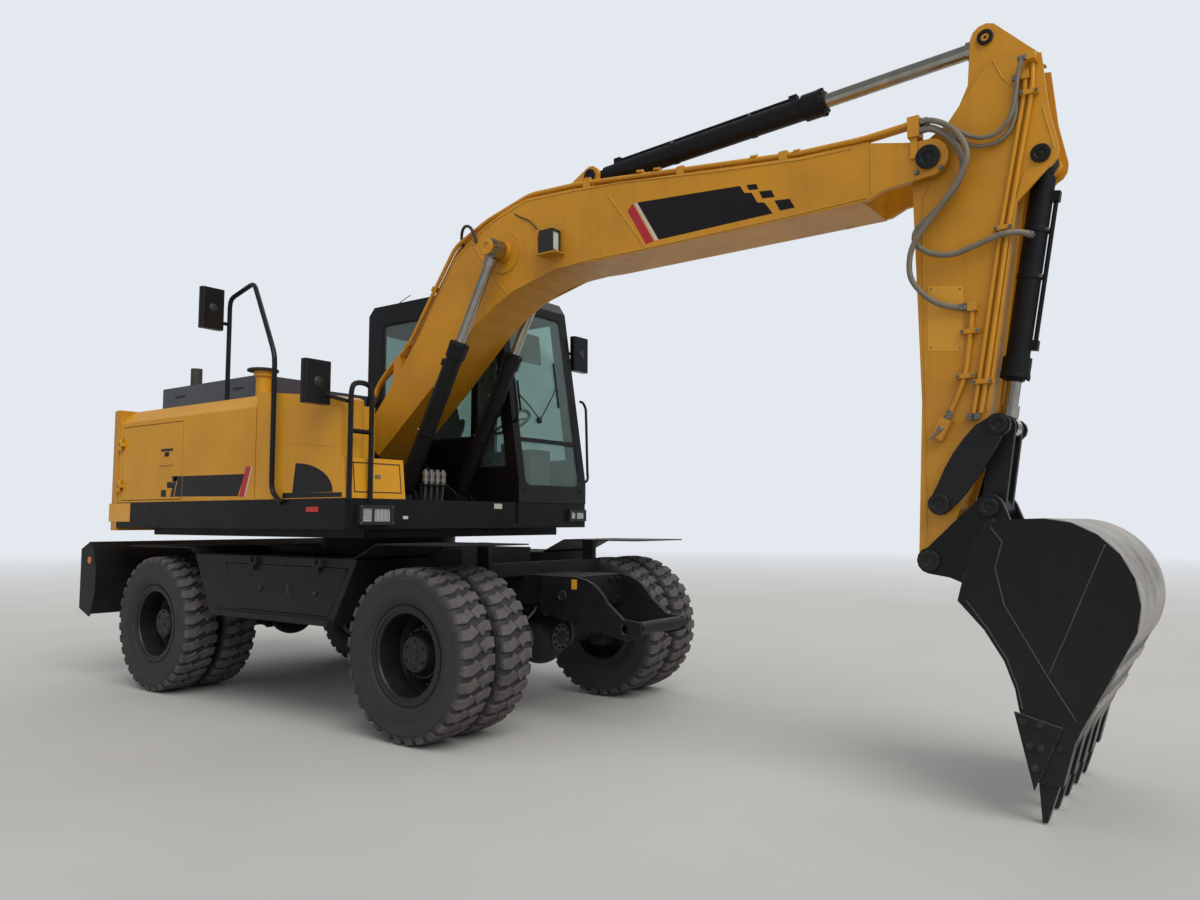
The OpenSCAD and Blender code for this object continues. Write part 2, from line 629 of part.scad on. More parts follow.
module house_section(inset) {
    w = house_side_y - inset;
    top = house_top_z - inset;
    polygon([[-w, 1300], [-w, top - house_bevel], [house_bevel - w, top], [w - house_bevel, top],
        [w, top - house_bevel], [w, 1300]]);
}
module along_x(x0, x1) {
    translate([x0, 0, 0]) rotate([90, 0, 90]) linear_extrude(x1 - x0) children();
}
module door_outline(gap) {
    translate([door_rear_x - gap, house_foot_z + 20 - gap])
        square([door_front_x - door_rear_x + 2 * gap,
            house_top_z - house_bevel - 60 - house_foot_z + 2 * gap]);
}
module house() color(yellow) at_origin() {
    house_panels();
    both_sides() for (z = house_hinge_z)
        translate([door_rear_x - 8, house_side_y + hinge_out, z]) hinge_pin();
    for (x = hood_hinge_x) translate([x, hood_hinge_y, house_top_z + hinge_out]) rotate([0, 90, 0]) {
        cylinder(d = hinge_pin_d, h = 3 * hinge_h);
        for (z = [0, 2 * hinge_h]) translate([0, 0, z]) {
            cylinder(d = hinge_d, h = hinge_h - seat_gap);
            block([0, -hinge_d / 2, 0], [hinge_out + 1, 40, hinge_h - seat_gap]);
        }
    }
}
module house_panels() difference() {
    intersection() {
        difference() {
            along_x(house_rear_x, house_front_x) house_section(0);
            along_x(house_rear_x + house_wall, house_front_x - house_wall) house_section(house_wall);
            block([house_rear_x + house_wall, -house_side_y + house_wall, 1200],
                [house_front_x - house_wall, house_side_y - house_wall, house_foot_z + 1]);
        }
        union() {
            block([house_rear_x - 1, -deck_half_w, house_foot_z], [house_mid_x, deck_half_w,
                house_top_z + 1]);
            block([house_mid_x - 1, -deck_half_w, house_foot_z], [house_front_x + 1, -430, house_top_z + 1]);
        }
    }
    both_sides() plate(house_side_y - 50, house_side_y + 5) door_outline(5);
}
module house_door(side) color(yellow) at_origin() mirror([0, side < 0 ? 1 : 0, 0]) {
    difference() {
        plate(house_side_y - 25, house_side_y) door_outline(0);
        // Slots of the cooler's grille, on the left side only
        if (side > 0) for (i = [0:7]) translate([door_rear_x + 130, 0, house_foot_z + 120 + i * 52])
            block([0, house_side_y - 30, 0], [door_front_x - door_rear_x - 260, house_side_y + 5, 20]);
    }
    for (z = house_hinge_z) translate([door_rear_x - 8, house_side_y + hinge_out, z]) hinge_sleeve();
}
module house_door_right() house_door(-1);
module house_door_left() house_door(1);

// Cover over the engine with a narrower stretch beside the boom
module hood_plan(inset) {
    right_y = 350 - deck_half_w;
    left_y = deck_half_w - 380;
    offset(40) offset(-40 - inset) polygon([[-1900, right_y], [-480, right_y], [-480, -460], [-800, -460],
        [-800, left_y], [-1900, left_y]]);
}
module engine_hood() color(black) at_origin() difference() {
    union() {
        translate([0, 0, house_top_z + 10]) linear_extrude(hood_top_z - house_top_z - 10) hood_plan(0);
        for (x = hood_hinge_x) translate([x + hinge_h, hood_hinge_y, house_top_z + hinge_out]) rotate([0,
            90, 0]) {
            cylinder(d = hinge_d, h = hinge_h - seat_gap);
            block([-60, -18, 0], [0, hinge_d / 2, hinge_h - seat_gap]);
        }
    }
    translate([0, 0, house_top_z]) linear_extrude(hood_top_z - house_top_z - 20) hood_plan(20);
    // Air slots in the top
    for (i = [0:8]) translate([-1790 + i * 80, 0, hood_top_z - 25]) block([0, -600, 0], [30, 450, 26]);
    for (x = hood_hinge_x) translate([x + hinge_h, hood_hinge_y, house_top_z + hinge_out]) rotate([0, 90, 0])
        cylinder(d = hinge_pin_d + 2 * run_gap, h = hinge_h - seat_gap);
}
module exhaust() color(dark_grey) at_origin() translate([-1500, 430 - deck_half_w, hood_top_z]) difference() {
    translate([0, 0, seat_gap]) cylinder(d = 90, h = 150);
    translate([0, 0, 20]) cylinder(d = 80, h = 150);
}
module air_intake() color(yellow) at_origin() translate([-400, 330 - deck_half_w, house_top_z + seat_gap]) {
    cylinder(d = 110, h = 190);
    translate([0, 0, 189]) cylinder(d = 140, h = 50);
}

module tank_locker() color(yellow) at_origin() {
    rear_x = house_front_x + 10;
    foot_z = skirt_top_z + seat_gap;
    inner_y = -450;
    plate(-house_side_y, locker_inner_y) polygon([[rear_x, foot_z], [locker_front_x, foot_z],
        [locker_front_x, 2060], [locker_front_x - 40, 2080], [rear_x, house_top_z]]);
    plate(locker_inner_y - 1, inner_y) polygon([[rear_x, foot_z], [330, foot_z], [330, 2120], [rear_x,
        2150]]);
}
module toolbox() color(yellow) at_origin() {
    foot_z = skirt_top_z + seat_gap;
    top_z = 1690;
    plate(-house_side_y, locker_end_y) polygon([[locker_front_x + seat_gap, foot_z], [deck_front_x, foot_z],
        [deck_front_x - 30, top_z], [locker_front_x + seat_gap, top_z]]);
    plate(locker_inner_y + seat_gap, locker_end_y) polygon([[345, foot_z], [locker_front_x + 1, foot_z],
        [locker_front_x + 1, top_z], [345, top_z]]);
}

module handrails() color(black) at_origin() {
    rail_d = 34;
    loop_x = deck_front_x + rail_d / 2 + seat_gap;
    side_y = -deck_half_w;
    skirt_y = side_y - rail_d / 2 - seat_gap;
    // Hoop from the house top over the side down to the skirt
    bent_bar([[-550, side_y + 130, house_top_z + seat_gap], [-550, side_y + 130, 2930], [-185,
        side_y + 90, 2990],
        [167, side_y - 13, 2560], [260, side_y - 25, 2400], [265, side_y - 25, 1480], [370, skirt_y,
            1405]], rail_d);
    // Loop in front of the toolbox
    bent_bar([[loop_x, side_y + 15, 1420], [loop_x, side_y + 15, 2120], [loop_x, side_y + 50, 2160],
        [loop_x, side_y + 145, 2160], [loop_x, side_y + 180, 2120], [loop_x, side_y + 180, 1420]], rail_d);
    bent_bar([[loop_x, side_y + 15, 1850], [loop_x, side_y + 180, 1850]], 30);
}
module mirrors() color(black) at_origin() {
    // Each as [x, y of its middle, z of its middle, width, height]
    for (m = [[-560, -10 - deck_half_w, 2835, 180, 300], [840, 100 - mirror_y, 2155, 200, 275],
        [842, mirror_y - 100, 2724, 200, 300]])
        translate([m[0], m[1], m[2]])
            rounded_block([-30, -m[3] / 2, -m[4] / 2], [30, m[3] / 2, m[4] / 2], 20);
    bent_bar([[-550, 113.5 - deck_half_w, 2740], [-550, 50 - deck_half_w, 2740]], 26);
    bent_bar([[1000, 3 - deck_half_w, 2036], [860, 160 - mirror_y, 2080]], 26);
    bent_bar([[820, cab_left_y + seat_gap, 2724], [820, mirror_y - 160, 2724]], 26);
}

module cab_side(inset) {
    offset(delta = -inset) polygon([[cab_rear_x, cab_foot_z], [deck_front_x + 10, cab_foot_z],
        [deck_front_x + 10, 1600], [780, 3060], [720, cab_top_z - 20], [650, cab_top_z],
        [cab_rear_x + 70, cab_top_z], [cab_rear_x, cab_top_z - 70]]);
}
module cab_door_outline(gap) {
    offset(delta = gap) polygon([[cab_door_rear_x, 1500], [920, 1500], [920, 1640], [700, 3050],
        [cab_door_rear_x, 3050]]);
}
// Openings of the side windows, each as an outline
module rear_pane() {
    polygon([[cab_rear_x + 190, 1950], [500, 1950], [500, 3000], [cab_rear_x + 190, 3000]]);
}
module front_pane() {
    polygon([[560, 1700], [880, 1700], [700, 3000], [560, 3000]]);
}
module left_pane() {
    polygon([[cab_rear_x + 120, 1950], [-160, 1950], [-160, 3000], [cab_rear_x + 120, 3000]]);
}
module door_pane() {
    intersection() {
        cab_door_outline(-70);
        translate([-500, 1800]) square([2000, 2000]);
    }
}
module cab_box() difference() {
    plate(cab_y, cab_left_y) cab_side(0);
    plate(cab_y + cab_wall, cab_left_y - cab_wall) cab_side(cab_wall);
    // Windscreen and rear window
    block([500, cab_y + 75, 1560], [1100, cab_left_y - 75, 2990]);
    block([cab_rear_x - 10, cab_y + 100, 2000], [cab_rear_x + 100, cab_left_y - 100, 2950]);
    plate(cab_y - 1, cab_y + 80) rear_pane();
    plate(cab_y - 1, cab_y + 80) front_pane();
    plate(cab_left_y - 80, cab_left_y + 1) left_pane();
    plate(cab_left_y - 80, cab_left_y + 1) cab_door_outline(5);
}
module cab_shell() color(black) at_origin() {
    cab_box();
    for (z = cab_hinge_z) translate([cab_door_rear_x - 8, cab_left_y + hinge_out, z]) hinge_pin();
}
module cab_door() color(black) at_origin() {
    difference() {
        plate(cab_left_y - 40, cab_left_y) cab_door_outline(0);
        plate(cab_left_y - 60, cab_left_y + 10) door_pane();
    }
    for (z = cab_hinge_z) translate([cab_door_rear_x - 8, cab_left_y + hinge_out, z]) hinge_sleeve();
}
module cab_glass() color(glass_green) at_origin() {
    side_y = 75 + seat_gap;
    inset = 15;
    sheet = 8;
    // Windscreen and rear window
    intersection() {
        difference() {
            plate(cab_y + side_y, cab_left_y - side_y) cab_side(inset);
            plate(cab_y, cab_left_y) cab_side(inset + sheet);
        }
        block([600, cab_y, 1560 + seat_gap], [1100, cab_left_y, 2990 - seat_gap]);
    }
    block([cab_rear_x + inset, cab_y + 100 + seat_gap, 2000 + seat_gap],
        [cab_rear_x + inset + sheet, cab_left_y - 100 - seat_gap, 2950 - seat_gap]);
    plate(cab_y + inset, cab_y + inset + sheet) offset(delta = -seat_gap) rear_pane();
    plate(cab_y + inset, cab_y + inset + sheet) offset(delta = -seat_gap) front_pane();
    plate(cab_left_y - inset - sheet, cab_left_y - inset) offset(delta = -seat_gap) left_pane();
}
module door_glass() color(glass_green) at_origin()
    plate(cab_left_y - 24, cab_left_y - 16) offset(delta = -seat_gap) door_pane();
module cab_seat() color(dark_grey) at_origin() {
    floor_z = cab_foot_z + cab_wall + seat_gap;
    rounded_block([-260, 560, floor_z], [200, 1010, floor_z + 400], 60);
    translate([-330, 0, floor_z + 350]) rotate([0, -8, 0])
        rounded_block([0, 580, 0], [110, 990, 700], 40);
    // Steering column
    rounded_block([560, 700, floor_z], [640, 820, floor_z + 620], 30);
}
// Square lamps at the front, each with a narrow and a wide reflector, and a small one on the roof
module lamps() color(steel_grey) at_origin() {
    face_x = deck_front_x + seat_gap;
    // Each as [y of its right end, y of its left end, z of its foot, z of its top]
    for (lamp = [[92 - deck_half_w, 368 - deck_half_w, 1262, 1388],
        [deck_half_w - 240, deck_half_w - 20, 1285, 1380]]) {
        split_y = lamp[0] + (lamp[1] - lamp[0]) * 0.4;
        difference() {
            block([face_x, lamp[0], lamp[2]], [face_x + 30, lamp[1], lamp[3]]);
            for (y = [[lamp[0] + 25, split_y - 6], [split_y + 6, lamp[1] - 25]])
                block([face_x + 12, y[0], lamp[2] + 20], [face_x + 31, y[1], lamp[3] - 20]);
        }
    }
    block([590, cab_left_y - 165, cab_top_z + seat_gap], [650, cab_left_y - 105, cab_top_z + 80]);
}

// Centre of the circle through three points
function circle_centre(a, b, c) = let (
    u = b - a, v = c - a, d = 2 * (u[0] * v[1] - u[1] * v[0]), uu = u * u, vv = v * v)
    a + [v[1] * uu - u[1] * vv, u[0] * vv - v[0] * uu] / d;
// Arc from a over b to c
function arc_over(a, b, c, steps) = let (
    m = circle_centre(a, b, c), r = norm(a - m),
    from = atan2(a[1] - m[1], a[0] - m[0]), to = atan2(c[1] - m[1], c[0] - m[0]))
    arc(m, r, from, abs(to - from) > 180 ? to - sign(to - from) * 360 : to, steps);

module boom_outline() {
    polygon(concat(
        arc(boom_foot, 130, 160, 300, 6),
        [[652, 2270]], arc_over([1046, 2628], [1399, 2854], [2115, 2974], 8),
        [[3940, 2990], [3980, 3316], [3586, 3325], [1963, 3496]],
        arc_over([1559, 3514], [1160, 3388], [864, 3201], 6),
        [[680, 2937], [482, 2651], [75, 2179]]));
}
module boom() color(yellow) at_origin() difference() {
    union() {
        box_beam(boom_half_w, beam_t) boom_outline();
        // Clevis plates of the tip
        both_sides() plate(arm_half_w + 30, boom_half_w) polygon(concat(
            [[3700, 2986], [3971, 2996], [4060, 3035]], arc(arm_pivot, 100, -70, 80, 6),
            [[4205, 3252], [3934, 3316], [3700, 3322]]));
        cross_bar(boom_foot, 200, -boom_half_w, boom_half_w);
        both_sides() {
            // Boss of the lifting cylinder's rod, and bracket of the arm cylinder
            cross_bar(boom_ram_eye, 150, boom_half_w - beam_t,
                boom_ram_y - rod_of(boom_ram_d) * neck_share / 2 - side_gap);
            cross_bar(boom_ram_eye, 290, boom_half_w - 1, boom_half_w + 8);
            plate(62, 88) polygon(concat([[1730, 3480], [2300, 3440]],
                arc(arm_ram_base, 68, -20, 130, 5), [[1800, 3540]]));
        }
        // Bracket of the lamp on the right side
        block([1735, -boom_half_w - 100, 3060], [1905, 1 - boom_half_w, 3070]);
        block([1735, -boom_half_w - 100, 3069], [1745, 1 - boom_half_w, 3235]);
        cross_bar(arm_pivot, pin_d, -boom_half_w - 10, boom_half_w + 10);
        cross_bar(arm_ram_base, link_pin_d, -96, 96);
    }
    cross_bar(boom_foot, pin_d + 2 * run_gap, -boom_half_w - 1, boom_half_w + 1);
}
// Hoses from the front block over the boom's tip to the right side of the arm
module tip_hoses() color(black) at_origin() {
    swept_tube(upper_tip_hose, tip_hose_d, 8);
    swept_tube(lower_tip_hose, tip_hose_d, 8);
}
module breaker_hose() color(black) at_origin() swept_tube(breaker_hose_route, arm_hose_d, 8);
module bucket_hose() color(black) at_origin() swept_tube(bucket_hose_route, arm_hose_d, 8);
// Hoses from the pipes down to the platform beside the boom's foot
module foot_hoses() color(black) at_origin() both_sides() {
    swept_tube(outer_foot_hose, foot_hose_d, 8);
    swept_tube(inner_foot_hose, foot_hose_d, 8);
}
module boom_lamp() color(steel_grey) at_origin() difference() {
    block([1760, -boom_half_w - 98, 3070 + seat_gap], [1875, -boom_half_w - 10, 3225]);
    block([1863, -boom_half_w - 88, 3085], [1876, -boom_half_w - 20, 3210]);
}
// Height of the boom's straight top edge
function boom_top(x) = 3496 + (x - 1963) * (3325 - 3496) / (3586 - 1963);
module boom_pipes() color(yellow) at_origin() {
    // Each as [y along the boom, y in the front block, x of its foot]
    for (pipe = [[170, 195, 0], [125, 156, -40]]) both_sides()
        bent_bar([[pipe[2] - 11, pipe[0], 2266], [pipe[2] + 23, pipe[0], 2345], [159, pipe[0], 2472],
            [361, pipe[0], 2614], [647, pipe[0], 3014], [862, pipe[0], 3305], [1180, pipe[0], 3440],
            [1580, pipe[0], 3545], [2000, pipe[0], 3528], [3560, pipe[0], 3356], [3950, pipe[1], 3334],
            [4200, pipe[1], 3350]], 30);
    both_sides() {
        // Stand over the foot, and the front block with its post on the boom's clevis plate
        plate(100, 188) polygon([[215, 2342], [300, 2440.6], [282, 2566], [225, 2526]]);
        plate(137, 214) polygon([[4190, 3272], [hose_block_x, 3272], [hose_block_x, 3382], [4190, 3382]]);
        plate(boom_half_w + seat_gap, boom_half_w + 12)
            polygon([[4200, 3160], [4235, 3160], [4235, 3275], [4200, 3275]]);
    }
    // Clamps on the boom
    for (x = [2080, 2800, 3480]) both_sides() plate(105, 190) polygon([[x - 25, boom_top(x - 25) + seat_gap],
        [x + 25, boom_top(x + 25) + seat_gap], [x + 25, boom_top(x) + 50], [x - 25, boom_top(x) + 50]]);
}

// Barrel with its foot eye and head, local +X towards the rod
module ram_barrel(d, length, eye_w, eye_pin_d, piped = true) {
    head_l = d * 0.9;
    difference() {
        union() {
            rotate([90, 0, 0]) cylinder(d = eye_pin_d * 1.7, h = eye_w, center = true);
            translate([eye_pin_d * 0.5, 0, 0]) rotate([0, 90, 0]) cylinder(d = d * 0.8, h = 60);
            translate([eye_pin_d * 0.5 + 50, 0, 0]) rotate([0, 90, 0])
                cylinder(d = d, h = length - eye_pin_d * 0.5 - 50);
            translate([length - head_l, 0, 0]) rotate([0, 90, 0]) cylinder(d = d + 24, h = head_l);
            translate([length - 18, 0, 0]) rotate([0, 90, 0]) cylinder(d = d + 30, h = 18);
            // Oil line along the barrel, between its two blocks
            if (piped) {
                translate([150, 0, d / 2 + 16]) rotate([0, 90, 0]) cylinder(d = 22,
                    h = length - head_l - 190);
                for (x = [150, length - head_l - 90]) block([x, -22, d / 2 - 8], [x + 50, 22, d / 2 + 32]);
            }
        }
        rotate([90, 0, 0]) cylinder(d = eye_pin_d + 2 * run_gap, h = eye_w + 2, center = true);
        translate([eye_pin_d * 0.5 + 80, 0, 0]) rotate([0, 90, 0]) cylinder(d = d * 0.62, h = length);
    }
}
// Rod whose eye is at reach, with the stretch inside the barrel
module ram_rod(d, start, reach, eye_w, eye_d) {
    translate([start, 0, 0]) rotate([0, 90, 0]) cylinder(d = d, h = reach - eye_d / 2 - start + 20);
    translate([reach - eye_d / 2 - 50, 0, 0]) rotate([0, 90, 0]) cylinder(d = d * neck_share, h = 60);
    translate([reach, 0, 0]) rotate([90, 0, 0]) cylinder(d = eye_d, h = eye_w, center = true);
}
module boom_ram_barrels() color(black) at_origin() both_sides() translate([0, boom_ram_y, 0])
    along(boom_ram_base, boom_ram_eye) ram_barrel(boom_ram_d, boom_ram_l, ram_eye_w, pin_d);
module boom_ram_rods() color(steel_grey) at_origin() {
    reach = pin_distance(boom_ram_base, boom_ram_eye);
    both_sides() translate([0, boom_ram_y, 0]) along(boom_ram_base, boom_ram_eye) {
        ram_rod(rod_of(boom_ram_d), 640, reach, ram_eye_w, 140);
        // Outer collar of the pin
        translate([reach, ram_eye_w, 0]) rotate([90, 0, 0]) cylinder(d = 110, h = ram_eye_w / 2 + 1);
    }
}
module arm_outline() {
    polygon(concat(
        arc(arm_pivot, 112, 200, 130, 3), [[4372, 3335], [4590, 3612], [4822, 3574], [4846, 3290], [4884,
            3090]],
        arc(bucket_ram_base, 80, 0, -70, 3), [[4690, 2851], [4535, 1850], [4400, 1420]],
        arc(bucket_pivot, 66, 20, -190, 8), [[4205, 1900]]));
}
module arm_core() {
    polygon([[4185, 3150], [4372, 3320], [4590, 3600], [4760, 3570], [4756, 3400], [4650, 2750],
        [4520, 1860], [4370, 1420], [4280, 1140], [4190, 1140], [4215, 1900], [4200, 3000]]);
}
module arm() color(yellow) at_origin() difference() {
    union() {
        both_sides() plate(arm_half_w - beam_t, arm_half_w) arm_outline();
        difference() {
            plate(-arm_half_w + 1, arm_half_w - 1) arm_core();
            plate(beam_t - arm_half_w, arm_half_w - beam_t) offset(-beam_t) arm_core();
        }
        both_sides() {
            // Ears of the arm cylinder
            plate(58, 88) polygon(concat([[4372, 3325], [4466, 3525]],
                arc(arm_ram_eye, 76, 170, 30, 5), [[4810, 3590], [4640, 3560]]));
            cross_bar(arm_ram_eye, link_pin_d, 58, 96);
            cross_bar(arm_pivot, 150, arm_half_w - 1, arm_half_w + 24);
            cross_bar(bucket_ram_base, 110, 50, arm_half_w);
        }
        cross_bar(bucket_ram_base, link_pin_d, -arm_half_w - 8, arm_half_w + 8);
        cross_bar(arm_pivot, 190, -arm_half_w, arm_half_w);
        cross_bar(bucket_pivot, 132, -arm_half_w, arm_half_w);
        cross_bar(side_link_pin, 120, -arm_half_w, arm_half_w);
    }
    cross_bar(arm_pivot, pin_d + 2 * run_gap, -200, 200);
    cross_bar(bucket_pivot, link_pin_d + 2 * run_gap, -200, 200);
    cross_bar(side_link_pin, link_pin_d + 2 * run_gap, -200, 200);
}
// Steel pipes on the right side of the arm with their elbows, clamps and the shut-off valve
module arm_pipes() color(yellow) at_origin() {
    side_y = -arm_half_w - seat_gap;
    pipe_y = side_y - 15;
    for (x = [0, -34])
        bent_bar([[4786 + x, pipe_y, 3560 + 2.2 * x], [4780 + x, pipe_y, 3400],
            [4648 + x, pipe_y, 2730], [4522 + x, pipe_y, 1977], [4492 + x, pipe_y, 1820]], 22);
    bent_bar([[4470, pipe_y, 2349], [4457, pipe_y, 2234], [4426, pipe_y, 2011], [4365, pipe_y, 1870],
        [4325, pipe_y, 1790]], 26);
    // Elbows and clamps, each as [x, z, half length, half height, depth]
    for (c = [[4784, 3548, 20, 22, 62], [4750, 3473, 20, 22, 32], [4470, 2358, 22, 24, 36],
        [4456, 2234, 45, 12, 32], [4427, 2011, 45, 12, 32], [4508, 1977, 45, 12, 32], [4626, 2730, 40, 12,
            32],
        [4766, 3380, 40, 12, 32]])
        translate([c[0], 0, c[1]]) block([-c[2], side_y - c[4], -c[3]], [c[2], side_y, c[3]]);
    translate([4308, side_y, 1752]) rotate([0, 27, 0]) block([-30, -52, -55], [30, 0, 55]);
}
module arm_ram_barrel() color(black) at_origin()
    along(arm_ram_base, arm_ram_eye) ram_barrel(arm_ram_d, arm_ram_l, 112, link_pin_d);
module arm_ram_rod() color(steel_grey) at_origin()
    along(arm_ram_base, arm_ram_eye)
        ram_rod(rod_of(arm_ram_d), 890, pin_distance(arm_ram_base, arm_ram_eye), 104, 120);

module bucket_outline() {
    polygon(concat([[4460, 930], [4530, 1200], [4600, 1295]], arc(bucket_centre, bucket_r, 90, -36, 7),
        [[4947, 416], [4840, 190], [4796, 200], [4705, 472], [4691, 561], [4650, 677], [4571, 806]]));
}
module bucket() color(yellow) at_origin() {
    tooth_pitch = (bucket_w - 90) / 4;
    difference() {
        plate(-bucket_half_w, bucket_half_w) bucket_outline();
        plate(bucket_t - bucket_half_w, bucket_half_w - bucket_t) hull() {
            offset(delta = -bucket_t) bucket_outline();
            translate([-220, -100]) offset(delta = -bucket_t) bucket_outline();
        }
    }
    both_sides() {
        // Ears
        plate(bucket_ear_in, bucket_ear_out) polygon(concat(
            arc(bucket_pivot, 66, 100, 260, 6), [[4330, 1010], [4475, 950], [4620, 1285]],
            arc(bucket_link_pin, 66, 20, 130, 5)));
        // Side cutters
        plate(bucket_half_w - 1, bucket_half_w + 19) polygon([[4688, 466], [4758, 143], [4875, 418]]);
    }
    for (pin = [bucket_pivot, bucket_link_pin])
        cross_bar(pin, link_pin_d, -bucket_ear_out - 5, bucket_ear_out + 5);
    // Teeth in their sockets
    for (i = [-2:2]) translate([0, i * tooth_pitch, 0]) {
        plate(-30, 30) polygon([[4905, 330], [4800, 8], [4780, 8], [4770, 210], [4796, 330]]);
        plate(-46, 46) polygon([[4935, 415], [4868, 170], [4768, 176], [4775, 300]]);
    }
}
module bucket_ram_barrel() color(black) at_origin()
    along(bucket_ram_base, link_eye) ram_barrel(bucket_ram_d, bucket_ram_l, 88, link_pin_d);
module bucket_ram_rod() color(steel_grey) at_origin()
    along(bucket_ram_base, link_eye)
        ram_rod(rod_of(bucket_ram_d), 140, pin_distance(bucket_ram_base, link_eye), 90, 120);

module side_links() color(yellow) at_origin() {
    both_sides() {
        plate(side_link_in, side_link_out) polygon(concat(
            arc(side_link_pin, 56, 130, 320, 7), arc_over([4420, 1420], [4520, 1560], [4600, 1702], 4),
            arc(link_eye, 56, -60, 140, 7), arc_over([4480, 1760], [4380, 1640], [4290, 1470], 4)));
        cross_bar(link_eye, link_pin_d, side_link_out - 1, side_link_out + 10);
    }
    // Pin through the arm
    cross_bar(side_link_pin, link_pin_d, -side_link_out - 10, side_link_out + 10);
}
module h_link() color(yellow) at_origin() {
    difference() {
        union() {
            cross_bar(bucket_link_pin, 116, -arm_half_w, arm_half_w);
            both_sides() {
                plate(fork_in, fork_out) hull() {
                    translate(bucket_link_pin) circle(d = 112, $fn = 32);
                    translate(link_eye) circle(d = 112, $fn = 32);
                }
                // Stub that reaches the side link
                cross_bar(link_eye, link_pin_d, fork_out - 1, side_link_in - 3);
            }
        }
        cross_bar(bucket_link_pin, link_pin_d + 2 * run_gap, -200, 200);
    }
}

chassis_frame();
axle_front();
axle_rear();
fenders();
side_boxes();
side_box_door_right();
side_box_door_left();
drivetrain();
knuckle_right();
knuckle_left();
rims_front_right();
rims_front_left();
rims_rear_right();
rims_rear_left();
tyres_front_right();
tyres_front_left();
tyres_rear_right();
tyres_rear_left();
blade();
blade_ram_barrels();
blade_ram_rods();
platform();
counterweight();
engine_block();
house();
house_door_right();
house_door_left();
engine_hood();
exhaust();
air_intake();
tank_locker();
toolbox();
handrails();
mirrors();
cab_shell();
cab_door();
cab_glass();
door_glass();
cab_seat();
lamps();
boom();
boom_pipes();
boom_lamp();
tip_hoses();
breaker_hose();
bucket_hose();
foot_hoses();
arm_pipes();
boom_ram_barrels();
boom_ram_rods();
arm();
arm_ram_barrel();
arm_ram_rod();
bucket();
bucket_ram_barrel();
bucket_ram_rod();
side_links();
h_link();
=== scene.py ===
# Wheeled excavator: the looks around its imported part. Metres, +X front, +Y left, +Z up.
import math

import bmesh
import bpy
from mathutils import Matrix, Vector


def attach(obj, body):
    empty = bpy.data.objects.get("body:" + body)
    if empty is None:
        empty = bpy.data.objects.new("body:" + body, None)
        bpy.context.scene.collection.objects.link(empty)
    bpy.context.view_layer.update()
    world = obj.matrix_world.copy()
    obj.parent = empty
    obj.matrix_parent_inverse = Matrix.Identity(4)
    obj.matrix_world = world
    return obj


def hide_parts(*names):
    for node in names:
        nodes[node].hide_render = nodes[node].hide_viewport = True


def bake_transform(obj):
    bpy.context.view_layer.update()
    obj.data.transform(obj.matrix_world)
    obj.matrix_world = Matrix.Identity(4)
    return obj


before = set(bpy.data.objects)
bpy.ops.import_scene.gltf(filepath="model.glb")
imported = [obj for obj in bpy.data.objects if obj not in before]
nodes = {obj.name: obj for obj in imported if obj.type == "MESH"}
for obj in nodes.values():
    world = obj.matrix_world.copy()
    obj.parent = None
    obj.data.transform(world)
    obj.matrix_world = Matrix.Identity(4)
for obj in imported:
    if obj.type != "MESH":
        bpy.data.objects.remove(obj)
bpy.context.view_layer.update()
slewX = 1.366  # the slew axis lies this far behind the origin
print("frame loaded:", len(nodes), "nodes")


# A point in metres from millimetres, with x from the slew axis
def at(x, y, z):
    return Vector((x / 1000 - slewX, y / 1000, z / 1000))


def hexColour(text):
    parts = [int(text[i:i + 2], 16) / 255 for i in (1, 3, 5)]
    return tuple(p / 12.92 if p <= 0.04045 else ((p + 0.055) / 1.055) ** 2.4 for p in parts) + (1.0,)


# Links inputs to sockets, or to the first active output of a node, and fills the rest with colours and values
def fill(tree, node, inputs):
    for key, value in inputs.items():
        if isinstance(value, str) and value.startswith("#"):
            value = hexColour(value)
        if isinstance(value, bpy.types.Node):
            value = next(output for output in value.outputs if output.enabled)
        if isinstance(value, bpy.types.NodeSocket):
            tree.links.new(value, node.inputs[key])
        else:
            node.inputs[key].default_value = value


def addNode(tree, kind, inputs=None, **settings):
    node = tree.nodes.new(kind)
    for key, value in settings.items():
        setattr(node, key, value)
    fill(tree, node, inputs or {})
    return node


# Camera of the photograph: place in metres, angles in degrees, lens in millimetres
view = {"place": (4.255, -4.864, 1.2895), "azimuth": 36.227, "up": 4.439, "roll": 0.048, "lens": 27.364}


def makeCamera():
    data = bpy.data.cameras.new("photoCamera")
    data.sensor_width = 36
    data.sensor_fit = "HORIZONTAL"
    data.lens = view["lens"]
    camera = bpy.data.objects.new("photoCamera", data)
    turn = (Matrix.Rotation(math.radians(view["azimuth"]), 4, "Z")
            @ Matrix.Rotation(math.radians(90 + view["up"]), 4, "X")
            @ Matrix.Rotation(math.radians(view["roll"]), 4, "Z"))
    camera.matrix_world = Matrix.Translation(view["place"]) @ turn
    bpy.context.scene.collection.objects.link(camera)
    bpy.context.scene.camera = camera


# Each sun has its strength, spread in degrees and direction. The key comes from the front and above, as in
# the yard, and a weak one from the machine's left. Light and mirrored sky have a colour and a strength.
studio = {"sky": "#E4E9EF", "light": ("#EEF1F5", 0.74), "mirrored": ("#DDE2E6", 0.42),
          "suns": {"keySun": (2.1, 50, (-0.72, 0.30, -0.80)), "sideSun": (0.45, 60, (0.25, -0.9, -0.55))},
          "floor": ("#ABA8A3", "#B9B6B1"), "floorHalf": 60, "fadeFrom": 9.0, "fadeTo": 34.0}


